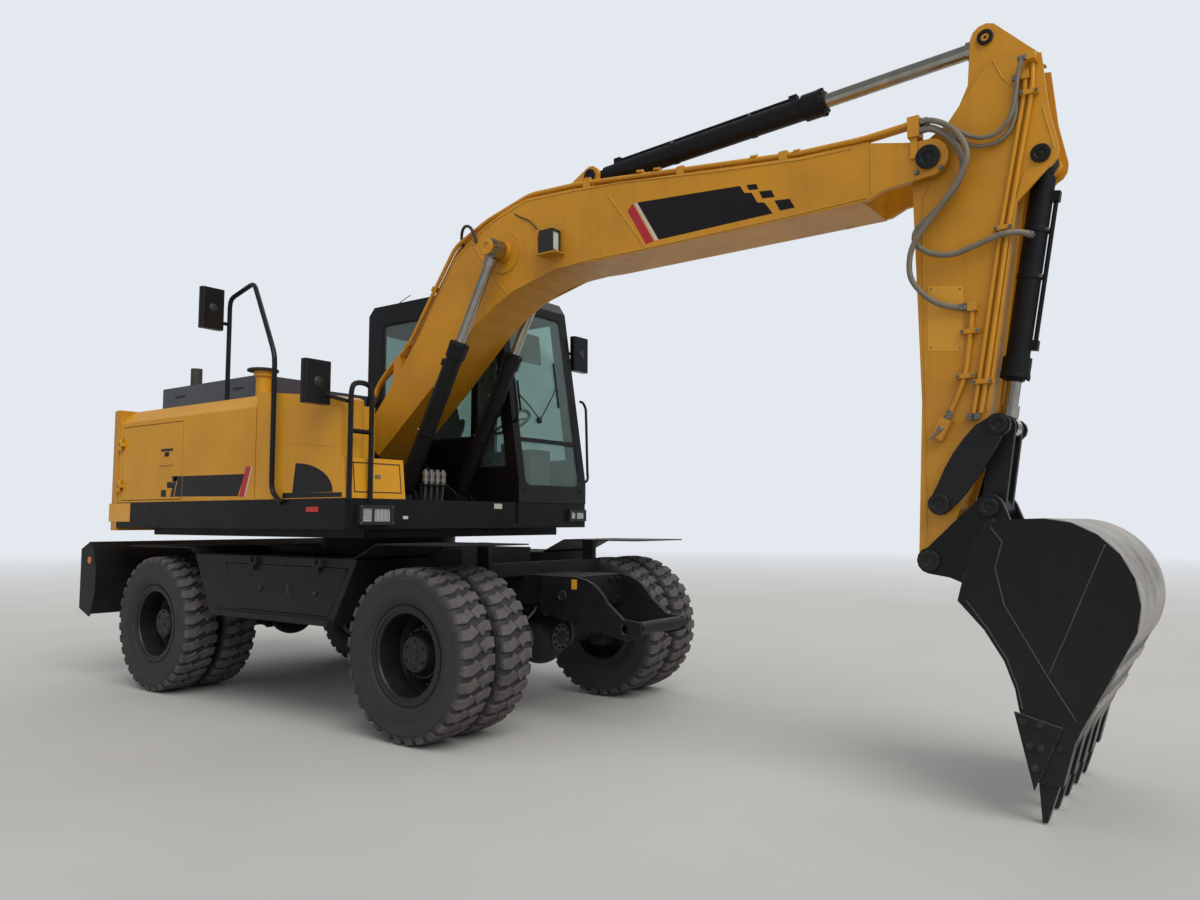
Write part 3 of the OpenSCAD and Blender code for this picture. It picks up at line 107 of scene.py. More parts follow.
def makeStudio():
    world = bpy.data.worlds.new("studio")
    bpy.context.scene.world = world
    world.use_nodes = True
    tree = world.node_tree
    tree.nodes.clear()
    seen = addNode(tree, "ShaderNodeLightPath")
    shown = addNode(tree, "ShaderNodeMath", {0: seen.outputs["Is Camera Ray"],
                                             1: seen.outputs["Is Transmission Ray"]}, operation="MAXIMUM")
    soft, dim, pale = [
        addNode(tree, "ShaderNodeBackground", {"Color": colour, "Strength": strength})
        for colour, strength in (studio["light"], studio["mirrored"], (studio["sky"], 1.0))]
    lit = addNode(tree, "ShaderNodeMixShader", {0: seen.outputs["Is Glossy Ray"], 1: soft, 2: dim})
    mixed = addNode(tree, "ShaderNodeMixShader", {0: shown, 1: lit, 2: pale})
    addNode(tree, "ShaderNodeOutputWorld", {"Surface": mixed})
    for name, (strength, spread, towards) in studio["suns"].items():
        light = bpy.data.lights.new(name, "SUN")
        light.energy = strength
        light.angle = math.radians(spread)
        lamp = bpy.data.objects.new(name, light)
        lamp.rotation_euler = Vector(towards).to_track_quat("-Z", "Y").to_euler()
        bpy.context.scene.collection.objects.link(lamp)

    # Floor in the yard's concrete grey, faded into the pale background far away
    bm = bmesh.new()
    bmesh.ops.create_grid(bm, x_segments=1, y_segments=1, size=studio["floorHalf"])
    mesh = bpy.data.meshes.new("studioFloor")
    bm.to_mesh(mesh)
    floor = bpy.data.objects.new("studioFloor", mesh)
    bpy.context.scene.collection.objects.link(floor)
    material = bpy.data.materials.new("floatedConcrete")
    material.use_nodes = True
    tree = material.node_tree
    tree.nodes.clear()
    place = addNode(tree, "ShaderNodeTexCoord").outputs["Object"]
    far = addNode(tree, "ShaderNodeVectorMath", {0: place}, operation="LENGTH")
    fade = addNode(tree, "ShaderNodeMapRange", {0: far, 1: studio["fadeFrom"], 2: studio["fadeTo"]})
    cloud = addNode(tree, "ShaderNodeTexNoise", {"Vector": place, "Scale": 0.6, "Detail": 5.0})
    dark, light = studio["floor"]
    tone = addNode(tree, "ShaderNodeMix", {0: cloud, 6: dark, 7: light}, data_type="RGBA")
    shader = addNode(tree, "ShaderNodeBsdfPrincipled", {"Base Color": tone, "Roughness": 0.8})
    glow = addNode(tree, "ShaderNodeEmission", {"Color": studio["sky"], "Strength": 1.0})
    mixed = addNode(tree, "ShaderNodeMixShader", {0: fade, 1: shader, 2: glow})
    addNode(tree, "ShaderNodeOutputMaterial", {"Surface": mixed})
    mesh.materials.append(material)


makeCamera()
makeStudio()
bpy.context.scene.view_settings.view_transform = "Standard"
print("camera, floor and light")


# A material's start: its shader and the place in Object coordinates, which every pattern reads
def startMaterial(name):
    material = bpy.data.materials.new(name)
    material.use_nodes = True
    tree = material.node_tree
    tree.nodes.clear()
    shader = addNode(tree, "ShaderNodeBsdfPrincipled")
    addNode(tree, "ShaderNodeOutputMaterial", {"Surface": shader})
    place = addNode(tree, "ShaderNodeTexCoord").outputs["Object"]
    return material, tree, shader, place


# Sprayed enamel on steel: patches of fading, rain streaks, dust on ledges and near the ground,
# and paint rubbed off the edges. Lengths in metres, shares from 0 to 1.
def sprayedEnamel(name, look):
    material, tree, shader, place = startMaterial(name)
    shape = addNode(tree, "ShaderNodeNewGeometry")
    edge = addNode(tree, "ShaderNodeBevel", {"Radius": 0.005}, samples=4)
    wide = addNode(tree, "ShaderNodeTexNoise", {"Vector": place, "Scale": 1.9, "Detail": 5.0, "Roughness": 0.6})
    patch = addNode(tree, "ShaderNodeMapRange", {0: wide, 1: 0.36, 2: 0.68})
    colour = addNode(tree, "ShaderNodeMix", {0: patch, 6: look["colour"], 7: look["faded"]}, data_type="RGBA")
    # Streaks run down, about 40 mm apart
    run = addNode(tree, "ShaderNodeMapping", {"Vector": place, "Scale": (24.0, 24.0, 1.6)})
    rain = addNode(tree, "ShaderNodeTexNoise", {"Vector": run, "Scale": 1.0, "Detail": 4.0})
    rainAmount = addNode(tree, "ShaderNodeMapRange", {0: rain, 1: 0.5, 2: 0.8, 3: 0.0, 4: look["streaks"]})
    colour = addNode(tree, "ShaderNodeMix", {0: rainAmount, 6: colour, 7: look["dirt"]}, data_type="RGBA")
    # Dust lies on what faces up and below the height where wheels throw it
    height = addNode(tree, "ShaderNodeSeparateXYZ", {0: place})
    low = addNode(tree, "ShaderNodeMapRange", {0: height.outputs["Z"], 1: look["dustTop"], 2: 0.15, 3: 0.0,
                                               4: look["lowDust"]})
    facing = addNode(tree, "ShaderNodeSeparateXYZ", {0: shape.outputs["Normal"]})
    ledge = addNode(tree, "ShaderNodeMapRange", {0: facing.outputs["Z"], 1: 0.55, 2: 1.0, 3: 0.0,
                                                 4: look["ledgeDust"]})
    lying = addNode(tree, "ShaderNodeMath", {0: low, 1: ledge}, operation="MAXIMUM")
    blown = addNode(tree, "ShaderNodeTexNoise", {"Vector": place, "Scale": 9.0, "Detail": 7.0, "Roughness": 0.65})
    grain = addNode(tree, "ShaderNodeMapRange", {0: blown, 1: 0.3, 2: 0.7, 3: 0.25, 4: 1.0})
    dust = addNode(tree, "ShaderNodeMath", {0: lying, 1: grain}, operation="MULTIPLY")
    colour = addNode(tree, "ShaderNodeMix", {0: dust, 6: colour, 7: look["dust"]}, data_type="RGBA")
    # Chips 5 to 15 mm long where the edge is sharpest
    turned = addNode(tree, "ShaderNodeVectorMath", {0: edge, 1: shape.outputs["True Normal"]},
                     operation="DOT_PRODUCT")
    sharp = addNode(tree, "ShaderNodeMapRange", {0: turned, 1: 0.96, 2: 0.8})
    nicks = addNode(tree, "ShaderNodeTexNoise", {"Vector": place, "Scale": 70.0, "Detail": 3.0})
    nicked = addNode(tree, "ShaderNodeMapRange", {0: nicks, 1: 0.56, 2: 0.62, 3: 0.0, 4: look["chips"]})
    chipped = addNode(tree, "ShaderNodeMath", {0: sharp, 1: nicked}, operation="MULTIPLY")
    colour = addNode(tree, "ShaderNodeMix", {0: chipped, 6: colour, 7: look["bare"]}, data_type="RGBA")
    gloss = addNode(tree, "ShaderNodeMapRange", {0: blown, 1: 0.3, 2: 0.75, 3: look["rough"] - 0.05,
                                                 4: look["rough"] + 0.1})
    matt = addNode(tree, "ShaderNodeMath", {0: dust, 1: 0.35, 2: gloss}, operation="MULTIPLY_ADD")
    # Orange peel of about 3 mm
    peel = addNode(tree, "ShaderNodeTexNoise", {"Vector": place, "Scale": 320.0, "Detail": 2.0})
    bump = addNode(tree, "ShaderNodeBump", {"Height": peel, "Normal": edge,
                                            "Strength": look.get("peel", 0.05), "Distance": 0.001})
    fill(tree, shader, {"Base Color": colour, "Roughness": matt, "Normal": bump, "Coat Weight": look["coat"],
                        "Coat Roughness": 0.12, "Specular IOR Level": look.get("specular", 0.5)})
    return material


# Alkyd enamel sprayed on pressed panels: warm, a little glossy, dusty on its ledges
panelYellow = sprayedEnamel("panelYellowEnamel", {
    "colour": "#CC8F17", "faded": "#BE831B", "dirt": "#6E5023", "dust": "#B8A074", "bare": "#4A3A2A",
    "rough": 0.36, "streaks": 0.06, "dustTop": 1.3, "lowDust": 0.4, "ledgeDust": 0.3, "chips": 0.5, "coat": 0.12,
    "specular": 0.3})
# The same enamel on welded plates of the digging gear, thicker and more knocked about
gearYellow = sprayedEnamel("gearYellowEnamel", {
    "colour": "#CB8C16", "faded": "#B97E1A", "dirt": "#634722", "dust": "#AD9362", "bare": "#463527",
    "rough": 0.40, "streaks": 0.12, "dustTop": 2.2, "lowDust": 0.35, "ledgeDust": 0.35, "chips": 0.8, "coat": 0.1,
    "peel": 0.09, "specular": 0.35})
# Enamel on the cast counterweight, with the casting's coarse skin under it
castYellow = sprayedEnamel("castIronYellowEnamel", {
    "colour": "#C68817", "faded": "#B57B1B", "dirt": "#5D4020", "dust": "#A98C5C", "bare": "#463527",
    "rough": 0.44, "streaks": 0.2, "dustTop": 1.5, "lowDust": 0.4, "ledgeDust": 0.35, "chips": 0.7, "coat": 0.08,
    "peel": 0.3, "specular": 0.3})
# Black machine enamel on welded frames: near black, half matt, greyed by dust low down
frameBlack = sprayedEnamel("frameBlackEnamel", {
    "colour": "#0F0F12", "faded": "#161619", "dirt": "#24211E", "dust": "#575148", "bare": "#4A4640",
    "rough": 0.46, "streaks": 0.25, "dustTop": 1.15, "lowDust": 0.25, "ledgeDust": 0.2, "chips": 0.5, "coat": 0.0,
    "specular": 0.22})
# Powder coat on cab and rails: even black with a soft gloss
cabBlack = sprayedEnamel("cabBlackPowderCoat", {
    "colour": "#0B0B0E", "faded": "#101013", "dirt": "#26231F", "dust": "#5A564F", "bare": "#3E3B38",
    "rough": 0.34, "streaks": 0.12, "dustTop": 1.6, "lowDust": 0.25, "ledgeDust": 0.2, "chips": 0.25, "coat": 0.08,
    "specular": 0.3})
# Dark blue-grey enamel on the engine's cover, smooth enough to mirror the sky
hoodEnamel = sprayedEnamel("hoodSlateEnamel", {
    "colour": "#3A3E4A", "faded": "#44474F", "dirt": "#2E2D2E", "dust": "#77736C", "bare": "#55504A",
    "rough": 0.28, "streaks": 0.1, "dustTop": 1.5, "lowDust": 0.2, "ledgeDust": 0.25, "chips": 0.3, "coat": 0.3})
# Matt black of the rims, brown with road dust inside
rimBlack = sprayedEnamel("rimBlackEnamel", {
    "colour": "#0E0E10", "faded": "#141415", "dirt": "#221F1C", "dust": "#3F3A33", "bare": "#5A5752",
    "rough": 0.42, "streaks": 0.2, "dustTop": 1.1, "lowDust": 0.35, "ledgeDust": 0.3, "chips": 0.6, "coat": 0.1,
    "specular": 0.4})
# Black enamel of the bucket linkage, scraped by stones
linkBlack = sprayedEnamel("linkBlackEnamel", {
    "colour": "#101013", "faded": "#18181C", "dirt": "#2E2A27", "dust": "#6B655C", "bare": "#7A756E",
    "rough": 0.42, "streaks": 0.25, "dustTop": 1.8, "lowDust": 0.25, "ledgeDust": 0.2, "chips": 0.9, "coat": 0.03,
    "specular": 0.3})


# Hard chrome on a ground rod: bright, with a thin oil film that dulls it in bands around the rod
def groundChrome():
    material, tree, shader, place = startMaterial("hardChromeGround")
    band = addNode(tree, "ShaderNodeTexNoise", {"Vector": place, "Scale": 14.0, "Detail": 4.0})
    film = addNode(tree, "ShaderNodeMapRange", {0: band, 1: 0.3, 2: 0.7, 3: 0.10, 4: 0.26})
    tone = addNode(tree, "ShaderNodeMix", {0: band, 6: "#B4B0A8", 7: "#8F8A80"}, data_type="RGBA")
    fill(tree, shader, {"Base Color": tone, "Roughness": film, "Metallic": 1.0})
    return material


# Zinc-plated steel of bolts and fittings: pale grey, finely mottled
def zincPlate():
    material, tree, shader, place = startMaterial("zincPlatedSteel")
    spot = addNode(tree, "ShaderNodeTexVoronoi", {"Vector": place, "Scale": 90.0})
    tone = addNode(tree, "ShaderNodeMix", {0: spot, 6: "#A5A39C", 7: "#6E6B64"}, data_type="RGBA")
    rough = addNode(tree, "ShaderNodeMapRange", {0: spot, 1: 0.0, 2: 1.0, 3: 0.3, 4: 0.5})
    fill(tree, shader, {"Base Color": tone, "Roughness": rough, "Metallic": 0.9})
    return material


# Tyre rubber moulded with carbon black: dark grey flanks, tread blocks rubbed grey-brown by the yard
def mouldedRubber():
    material, tree, shader, place = startMaterial("tyreRubberMoulded")
    rub = addNode(tree, "ShaderNodeAttribute", attribute_name="rub")
    blown = addNode(tree, "ShaderNodeTexNoise", {"Vector": place, "Scale": 14.0, "Detail": 6.0, "Roughness": 0.62})
    grain = addNode(tree, "ShaderNodeMapRange", {0: blown, 1: 0.32, 2: 0.66, 3: 0.45, 4: 1.0})
    worn = addNode(tree, "ShaderNodeMath", {0: rub.outputs["Fac"], 1: grain}, operation="MULTIPLY")
    colour = addNode(tree, "ShaderNodeMix", {0: worn, 6: "#242426", 7: "#5C5755"}, data_type="RGBA")
    rough = addNode(tree, "ShaderNodeMapRange", {0: worn, 1: 0.0, 2: 1.0, 3: 0.58, 4: 0.88})
    fine = addNode(tree, "ShaderNodeTexNoise", {"Vector": place, "Scale": 180.0, "Detail": 3.0})
    bump = addNode(tree, "ShaderNodeBump", {"Height": fine, "Strength": 0.25, "Distance": 0.001})
    fill(tree, shader, {"Base Color": colour, "Roughness": rough, "Normal": bump, "Specular IOR Level": 0.35})
    return material


# Hydraulic hose: extruded rubber cover with a wrapped cloth print every 6 mm, dusty
def hoseCover(name, dark, dusty):
    material, tree, shader, place = startMaterial(name)
    along = addNode(tree, "ShaderNodeAttribute", attribute_name="along")
    turns = addNode(tree, "ShaderNodeMath", {0: along.outputs["Fac"], 1: 2 * math.pi / 0.006}, operation="MULTIPLY")
    wrap = addNode(tree, "ShaderNodeMath", {0: turns}, operation="SINE")
    blown = addNode(tree, "ShaderNodeTexNoise", {"Vector": place, "Scale": 16.0, "Detail": 5.0})
    colour = addNode(tree, "ShaderNodeMix", {0: blown, 6: dark, 7: dusty}, data_type="RGBA")
    rough = addNode(tree, "ShaderNodeMapRange", {0: blown, 1: 0.3, 2: 0.7, 3: 0.45, 4: 0.75})
    bump = addNode(tree, "ShaderNodeBump", {"Height": wrap, "Strength": 0.2, "Distance": 0.0005})
    fill(tree, shader, {"Base Color": colour, "Roughness": rough, "Normal": bump})
    return material


# Toughened float glass, tinted green in the melt
def tintedGlass():
    material, tree, shader, place = startMaterial("toughenedFloatGlass")
    smear = addNode(tree, "ShaderNodeTexNoise", {"Vector": place, "Scale": 5.0, "Detail": 5.0})
    rough = addNode(tree, "ShaderNodeMapRange", {0: smear, 1: 0.45, 2: 0.8, 3: 0.01, 4: 0.10})
    tone = addNode(tree, "ShaderNodeMix", {0: smear, 6: "#B5CCC6", 7: "#A3B9B3"}, data_type="RGBA")
    fill(tree, shader, {"Roughness": rough, "Base Color": tone, "Transmission Weight": 0.9, "IOR": 1.5})
    return material


# Manganese steel of the bucket: black enamel on its flanks, scoured to streaked bare steel where earth slides
def bucketSteel():
    material = sprayedEnamel("bucketSteelScoured", {
        "colour": "#0E0F12", "faded": "#131419", "dirt": "#26231F", "dust": "#5A544C", "bare": "#8A857C",
        "rough": 0.42, "streaks": 0.2, "dustTop": 1.2, "lowDust": 0.12, "ledgeDust": 0.15, "chips": 0.8, "coat": 0.0,
        "specular": 0.3})
    tree = material.node_tree
    shader = next(n for n in tree.nodes if n.type == "BSDF_PRINCIPLED")
    painted = shader.inputs["Base Color"].links[0].from_socket
    matt = shader.inputs["Roughness"].links[0].from_socket
    place = addNode(tree, "ShaderNodeTexCoord").outputs["Object"]
    shape = addNode(tree, "ShaderNodeNewGeometry")
    facing = addNode(tree, "ShaderNodeSeparateXYZ", {0: shape.outputs["Normal"]})
    sideways = addNode(tree, "ShaderNodeMath", {0: facing.outputs["Y"]}, operation="ABSOLUTE")
    shell = addNode(tree, "ShaderNodeMapRange", {0: sideways, 1: 0.75, 2: 0.45})
    # Streaks run round the shell, 10 to 60 mm wide
    run = addNode(tree, "ShaderNodeMapping", {"Vector": place, "Scale": (1.6, 26.0, 1.6)})
    score = addNode(tree, "ShaderNodeTexNoise", {"Vector": run, "Scale": 1.0, "Detail": 7.0, "Roughness": 0.7})
    blotch = addNode(tree, "ShaderNodeTexNoise", {"Vector": place, "Scale": 4.0, "Detail": 5.0})
    both = addNode(tree, "ShaderNodeMath", {0: score, 1: blotch}, operation="ADD")
    rubbed = addNode(tree, "ShaderNodeMapRange", {0: both, 1: 0.88, 2: 1.1})
    scoured = addNode(tree, "ShaderNodeMath", {0: rubbed, 1: shell}, operation="MULTIPLY")
    steel = addNode(tree, "ShaderNodeMix", {0: score, 6: "#4A4744", 7: "#8F8B85"}, data_type="RGBA")
    colour = addNode(tree, "ShaderNodeMix", {0: scoured, 6: painted, 7: steel}, data_type="RGBA")
    metal = addNode(tree, "ShaderNodeMath", {0: scoured, 1: 0.7}, operation="MULTIPLY")
    rough = addNode(tree, "ShaderNodeMix", {0: scoured, 2: matt, 3: 0.45}, data_type="FLOAT")
    fill(tree, shader, {"Base Color": colour, "Metallic": metal, "Roughness": rough})
    return material


# Back of the bucket: rolled plate that the earth has rubbed pale and dull, with streaks and spots of rust
def rubbedPlate():
    material, tree, shader, place = startMaterial("rolledPlateRubbed")
    run = addNode(tree, "ShaderNodeMapping", {"Vector": place, "Scale": (2.0, 30.0, 2.0)})
    score = addNode(tree, "ShaderNodeTexNoise", {"Vector": run, "Scale": 1.0, "Detail": 7.0, "Roughness": 0.7})
    tone = addNode(tree, "ShaderNodeMapRange", {0: score, 1: 0.32, 2: 0.68})
    steel = addNode(tree, "ShaderNodeMix", {0: tone, 6: "#7E7A76", 7: "#B3AEA8"}, data_type="RGBA")
    patch = addNode(tree, "ShaderNodeTexNoise", {"Vector": place, "Scale": 3.2, "Detail": 6.0, "Roughness": 0.6})
    grime = addNode(tree, "ShaderNodeMapRange", {0: patch, 1: 0.5, 2: 0.72, 3: 0.0, 4: 0.75})
    soiled = addNode(tree, "ShaderNodeMix", {0: grime, 6: steel, 7: "#55504C"}, data_type="RGBA")
    spots = addNode(tree, "ShaderNodeTexNoise", {"Vector": place, "Scale": 7.5, "Detail": 5.0})
    rust = addNode(tree, "ShaderNodeMapRange", {0: spots, 1: 0.62, 2: 0.72, 3: 0.0, 4: 0.7})
    colour = addNode(tree, "ShaderNodeMix", {0: rust, 6: soiled, 7: "#8F5A35"}, data_type="RGBA")
    rough = addNode(tree, "ShaderNodeMapRange", {0: score, 1: 0.3, 2: 0.7, 3: 0.42, 4: 0.62})
    bump = addNode(tree, "ShaderNodeBump", {"Height": score, "Strength": 0.2, "Distance": 0.002})
    fill(tree, shader, {"Base Color": colour, "Roughness": rough, "Normal": bump, "Metallic": 0.3})
    return material


# A plain moulded or sprayed surface with fine grain: rubber seals, plastic, decals, lenses
def plainGrain(name, colour, worn, rough, grainMm, bumpDepth=0.15, **sockets):
    material, tree, shader, place = startMaterial(name)
    blown = addNode(tree, "ShaderNodeTexNoise", {"Vector": place, "Scale": 6.0, "Detail": 5.0})
    tone = addNode(tree, "ShaderNodeMix", {0: blown, 6: colour, 7: worn}, data_type="RGBA")
    gloss = addNode(tree, "ShaderNodeMapRange", {0: blown, 1: 0.3, 2: 0.7, 3: rough - 0.06, 4: rough + 0.08})
    fine = addNode(tree, "ShaderNodeTexNoise", {"Vector": place, "Scale": 1000 / grainMm, "Detail": 2.0})
    bump = addNode(tree, "ShaderNodeBump", {"Height": fine, "Strength": bumpDepth, "Distance": 0.0006})
    fill(tree, shader, {key.replace("_", " "): value for key, value in sockets.items()})
    fill(tree, shader, {"Base Color": tone, "Roughness": gloss, "Normal": bump})
    return material


rodChrome = groundChrome()
zinc = zincPlate()
tyreRubber = mouldedRubber()
bucketFinish = bucketSteel()
shellSteel = rubbedPlate()
cabGlass = tintedGlass()
blackHose = hoseCover("hydraulicHoseRubber", "#1D1C1D", "#3A3734")
dustyHose = hoseCover("hydraulicHoseDusty", "#5E564B", "#857A68")
# EPDM seals round the panes: soft matt black
sealRubber = plainGrain("windowSealEpdm", "#0E0E0F", "#1A1A1B", 0.7, 2.0)
# Vinyl livery film: smooth, thin, black, white, red and yellow
filmBlack = plainGrain("vinylFilmBlack", "#120F13", "#1A1517", 0.36, 3.0, 0.03, Specular_IOR_Level=0.3)
filmWhite = plainGrain("vinylFilmWhite", "#C9C1B6", "#B5AB9C", 0.36, 3.0, 0.03)
filmRed = plainGrain("vinylFilmRed", "#B3202A", "#A01D26", 0.36, 3.0, 0.03)
filmYellow = plainGrain("vinylFilmYellow", "#D79A24", "#C98C20", 0.36, 3.0, 0.03)
films = {"Black": filmBlack, "White": filmWhite, "Red": filmRed}
# Acrylic prisms of reflectors and lamp lenses: glossy and finely ribbed
reflectorRed = plainGrain("reflectorAcrylicRed", "#C22A1C", "#A82216", 0.2, 4.0, 0.6)
lensClear = plainGrain("lampLensAcrylic", "#C9CCC8", "#B5B8B4", 0.15, 6.0, 0.7)
lensAmber = plainGrain("lampLensAmber", "#C76A14", "#B55E12", 0.2, 5.0, 0.6)
# Glass over a reflector that shows dark between its bright bars
lampGlass = plainGrain("lampGlassDark", "#3E4144", "#55585A", 0.1, 6.0, 0.5)
# Polyamide of handles, consoles and fan guards: moulded, leather-grained
mouldedPlastic = plainGrain("polyamideMoulded", "#1A1A1C", "#232325", 0.55, 3.0, 0.3)
# Rough grey iron of castings, painted dark
castGrey = plainGrain("castIronPainted", "#2B2B2D", "#3A3835", 0.6, 5.0, 0.5)

# The finish of every CAD node that stays as it is
carriedOver = [
    (panelYellow, "house house_door_right house_door_left tank_locker toolbox air_intake"),
    (gearYellow, "boom boom_pipes arm arm_pipes"),
    (castYellow, "counterweight"),
    (frameBlack, "chassis_frame axle_front axle_rear fenders knuckle_right knuckle_left platform blade side_boxes "
                 "side_box_door_right side_box_door_left boom_ram_barrels arm_ram_barrel bucket_ram_barrel "
                 "blade_ram_barrels"),
    (cabBlack, "cab_shell cab_door handrails mirrors"),
    (hoodEnamel, "engine_hood"),
    (rimBlack, "rims_front_right rims_front_left rims_rear_right rims_rear_left"),
    (linkBlack, "side_links h_link"),
    (bucketFinish, "bucket"),
    (rodChrome, "boom_ram_rods arm_ram_rod bucket_ram_rod blade_ram_rods"),
    (castGrey, "drivetrain engine_block exhaust"),
    (cabGlass, "cab_glass door_glass"),
    (mouldedPlastic, "lamps boom_lamp cab_seat"),
    (dustyHose, "tip_hoses breaker_hose bucket_hose foot_hoses"),
    (tyreRubber, "tyres_front_right tyres_front_left tyres_rear_right tyres_rear_left")]
for material, names in carriedOver:
    for name in names.split():
        slots = nodes[name].material_slots
        if slots:
            for s in slots:
                s.material = material
        else:
            nodes[name].data.materials.append(material)
# Woven polyester of the seat: dark, dull, ribbed about every 2 mm
seatCloth = plainGrain("seatClothWoven", "#1B1B1E", "#28282B", 0.88, 2.0, 0.6, Specular_IOR_Level=0.25)
# Silvered glass of the mirrors
mirrorGlass = plainGrain("mirrorGlassSilvered", "#C9CDD0", "#BFC4C8", 0.10, 40.0, 0.02, Metallic=1.0)
# Pale grey ABS of trim inside the cab
paleTrim = plainGrain("cabTrimAbs", "#8D8E8C", "#7D7E7C", 0.55, 1.5, 0.3)
# Yellow enamel over weld beads, unchipped: lighter than the gear's colour, a painted highlight along the raised
# beads
paintedHighlightWeldYellow = sprayedEnamel("paintedHighlightWeldYellowEnamel", {
    "colour": "#D29A2C", "faded": "#C48A22", "dirt": "#8A6226", "dust": "#AD9362", "bare": "#463527",
    "rough": 0.42, "streaks": 0.05, "dustTop": 2.2, "lowDust": 0.2, "ledgeDust": 0.2, "chips": 0.0, "coat": 0.15})
# Weld lines on black plates, unchipped: a little lighter than the enamel beside them, a painted highlight along the
# seams
paintedHighlightWeldBlack = plainGrain("paintedHighlightWeldBlackEnamel", "#34373B", "#45484B", 0.4, 4.0, 0.3)
print("materials:", len(bpy.data.materials))

sides = ((-1, "Right"), (1, "Left"))


# Mesh helpers. Sizes in millimetres, x from the slew axis
def finishPiece(name, bm, material, body, slot=None, sharpAngle=32, bevel=0.0, clean=True):
    if clean:
        bmesh.ops.remove_doubles(bm, verts=bm.verts, dist=0.00002)
        bmesh.ops.recalc_face_normals(bm, faces=bm.faces)
    for face in bm.faces:
        face.smooth = True
    for edge in bm.edges:
        if len(edge.link_faces) != 2 or edge.calc_face_angle(0) > math.radians(sharpAngle):
            edge.smooth = False
    mesh = bpy.data.meshes.new(name)
    bm.to_mesh(mesh)
    bm.free()
    mesh.materials.append(material)
    piece = bpy.data.objects.new(name, mesh)
    bpy.context.scene.collection.objects.link(piece)
    if bevel:
        modifier = piece.modifiers.new("edges", "BEVEL")
        modifier.width = bevel / 1000
        modifier.segments = 2
        modifier.limit_method = "ANGLE"
        modifier.angle_limit = math.radians(40)
        modifier.harden_normals = True
    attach(piece, body)
    return piece


# A plate drawn in the XZ plane, from y0 to y1
def addPlate(bm, outline, y0, y1):
    rings = [[bm.verts.new(at(x, y, z)) for x, z in outline] for y in (y0, y1)]
    count = len(outline)
    bm.faces.new(rings[0])
    bm.faces.new(reversed(rings[1]))
    for i in range(count):
        k = (i + 1) % count
        bm.faces.new((rings[0][i], rings[1][i], rings[1][k], rings[0][k]))


# A rectangle's corners from two opposite ones
def rectangle(a, b):
    return [(a[0], a[1]), (b[0], a[1]), (b[0], b[1]), (a[0], b[1])]


# A box by two opposite corners
def addBlock(bm, low, high):
    addPlate(bm, rectangle((low[0], low[2]), (high[0], high[2])), low[1], high[1])


# Rings of points round an axis, joined into a closed turned shape; profile is (radius, distance along the axis)
def addTurned(bm, centre, axis, profile, sides=32, closed=False):
    axis = Vector(axis).normalized()
    side = axis.orthogonal().normalized()
    other = axis.cross(side)
    centre = at(*centre)
    angles = [2 * math.pi * i / sides for i in range(sides)]
    circle = [math.cos(a) * side + math.sin(a) * other for a in angles]
    rings = []
    for radius, along in profile:
        middle = centre + axis * along / 1000
        rings.append([bm.verts.new(middle)] if radius < 0.01 else [
            bm.verts.new(middle + radius / 1000 * way) for way in circle])
    pairs = list(zip(rings, rings[1:] + ([rings[0]] if closed else [])))
    if not closed:
        pairs = pairs[:len(rings) - 1]
    for a, b in pairs:
        for i in range(sides):
            k = (i + 1) % sides
            corners = [a[i % len(a)], a[k % len(a)], b[k % len(b)], b[i % len(b)]]
            corners = [v for n, v in enumerate(corners) if v not in corners[:n]]
            if len(corners) > 2:
                bm.faces.new(corners)
    if not closed:
        for ring, turn in ((rings[0], False), (rings[-1], True)):
            if len(ring) > 2:
                bm.faces.new(reversed(ring) if turn else ring)


def roundBar(bm, start, end, diameter, sides=24, chamfer=2.0):
    a, b = at(*start), at(*end)
    length = (b - a).length * 1000
    r = diameter / 2
    profile = [(r - chamfer, 0), (r, chamfer), (r, length - chamfer), (r - chamfer, length)]
    addTurned(bm, start, b - a, profile, sides)


# A piece of several shapes: each is its function, followed by what comes after bm in its call
def makePiece(name, material, body, shapes, **options):
    bm = bmesh.new()
    for add, *sizes in shapes:
        add(bm, *sizes)
    return finishPiece(name, bm, material, body, **options)


# Geometry Nodes: trees built once, run on a host mesh, results taken as plain meshes
def newTree(name, inputs):
    tree = bpy.data.node_groups.new(name, "GeometryNodeTree")
    tree.interface.new_socket("Geometry", in_out="INPUT", socket_type="NodeSocketGeometry")
    for label, kind, value in inputs:
        socket = tree.interface.new_socket(label, in_out="INPUT", socket_type="NodeSocket" + kind)
        if value is not None:
            socket.default_value = value
    tree.interface.new_socket("Geometry", in_out="OUTPUT", socket_type="NodeSocketGeometry")
    start = addNode(tree, "NodeGroupInput")
    return tree, start


def endTree(tree, geometry, start):
    whole = addNode(tree, "GeometryNodeRealizeInstances", {0: geometry})
    coated = addNode(tree, "GeometryNodeSetMaterial", {"Geometry": whole, "Material": start.outputs["Material"]})
    addNode(tree, "NodeGroupOutput", {0: coated})
    return tree


def runTree(tree, name, hostMesh, settings, body):
    host = bpy.data.objects.new(name + "Host", hostMesh)
    bpy.context.scene.collection.objects.link(host)
    modifier = host.modifiers.new("build", "NODES")
    modifier.node_group = tree
    for item in tree.interface.items_tree:
        if item.item_type == "SOCKET" and item.in_out == "INPUT" and item.name in settings:
            modifier[item.identifier] = settings[item.name]
    bpy.context.view_layer.update()
    graph = bpy.context.evaluated_depsgraph_get()
    mesh = bpy.data.meshes.new_from_object(host.evaluated_get(graph))
    bpy.data.objects.remove(host)
    mesh.name = name
    piece = bpy.data.objects.new(name, mesh)
    bpy.context.scene.collection.objects.link(piece)
    if body:
        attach(piece, body)
    return piece


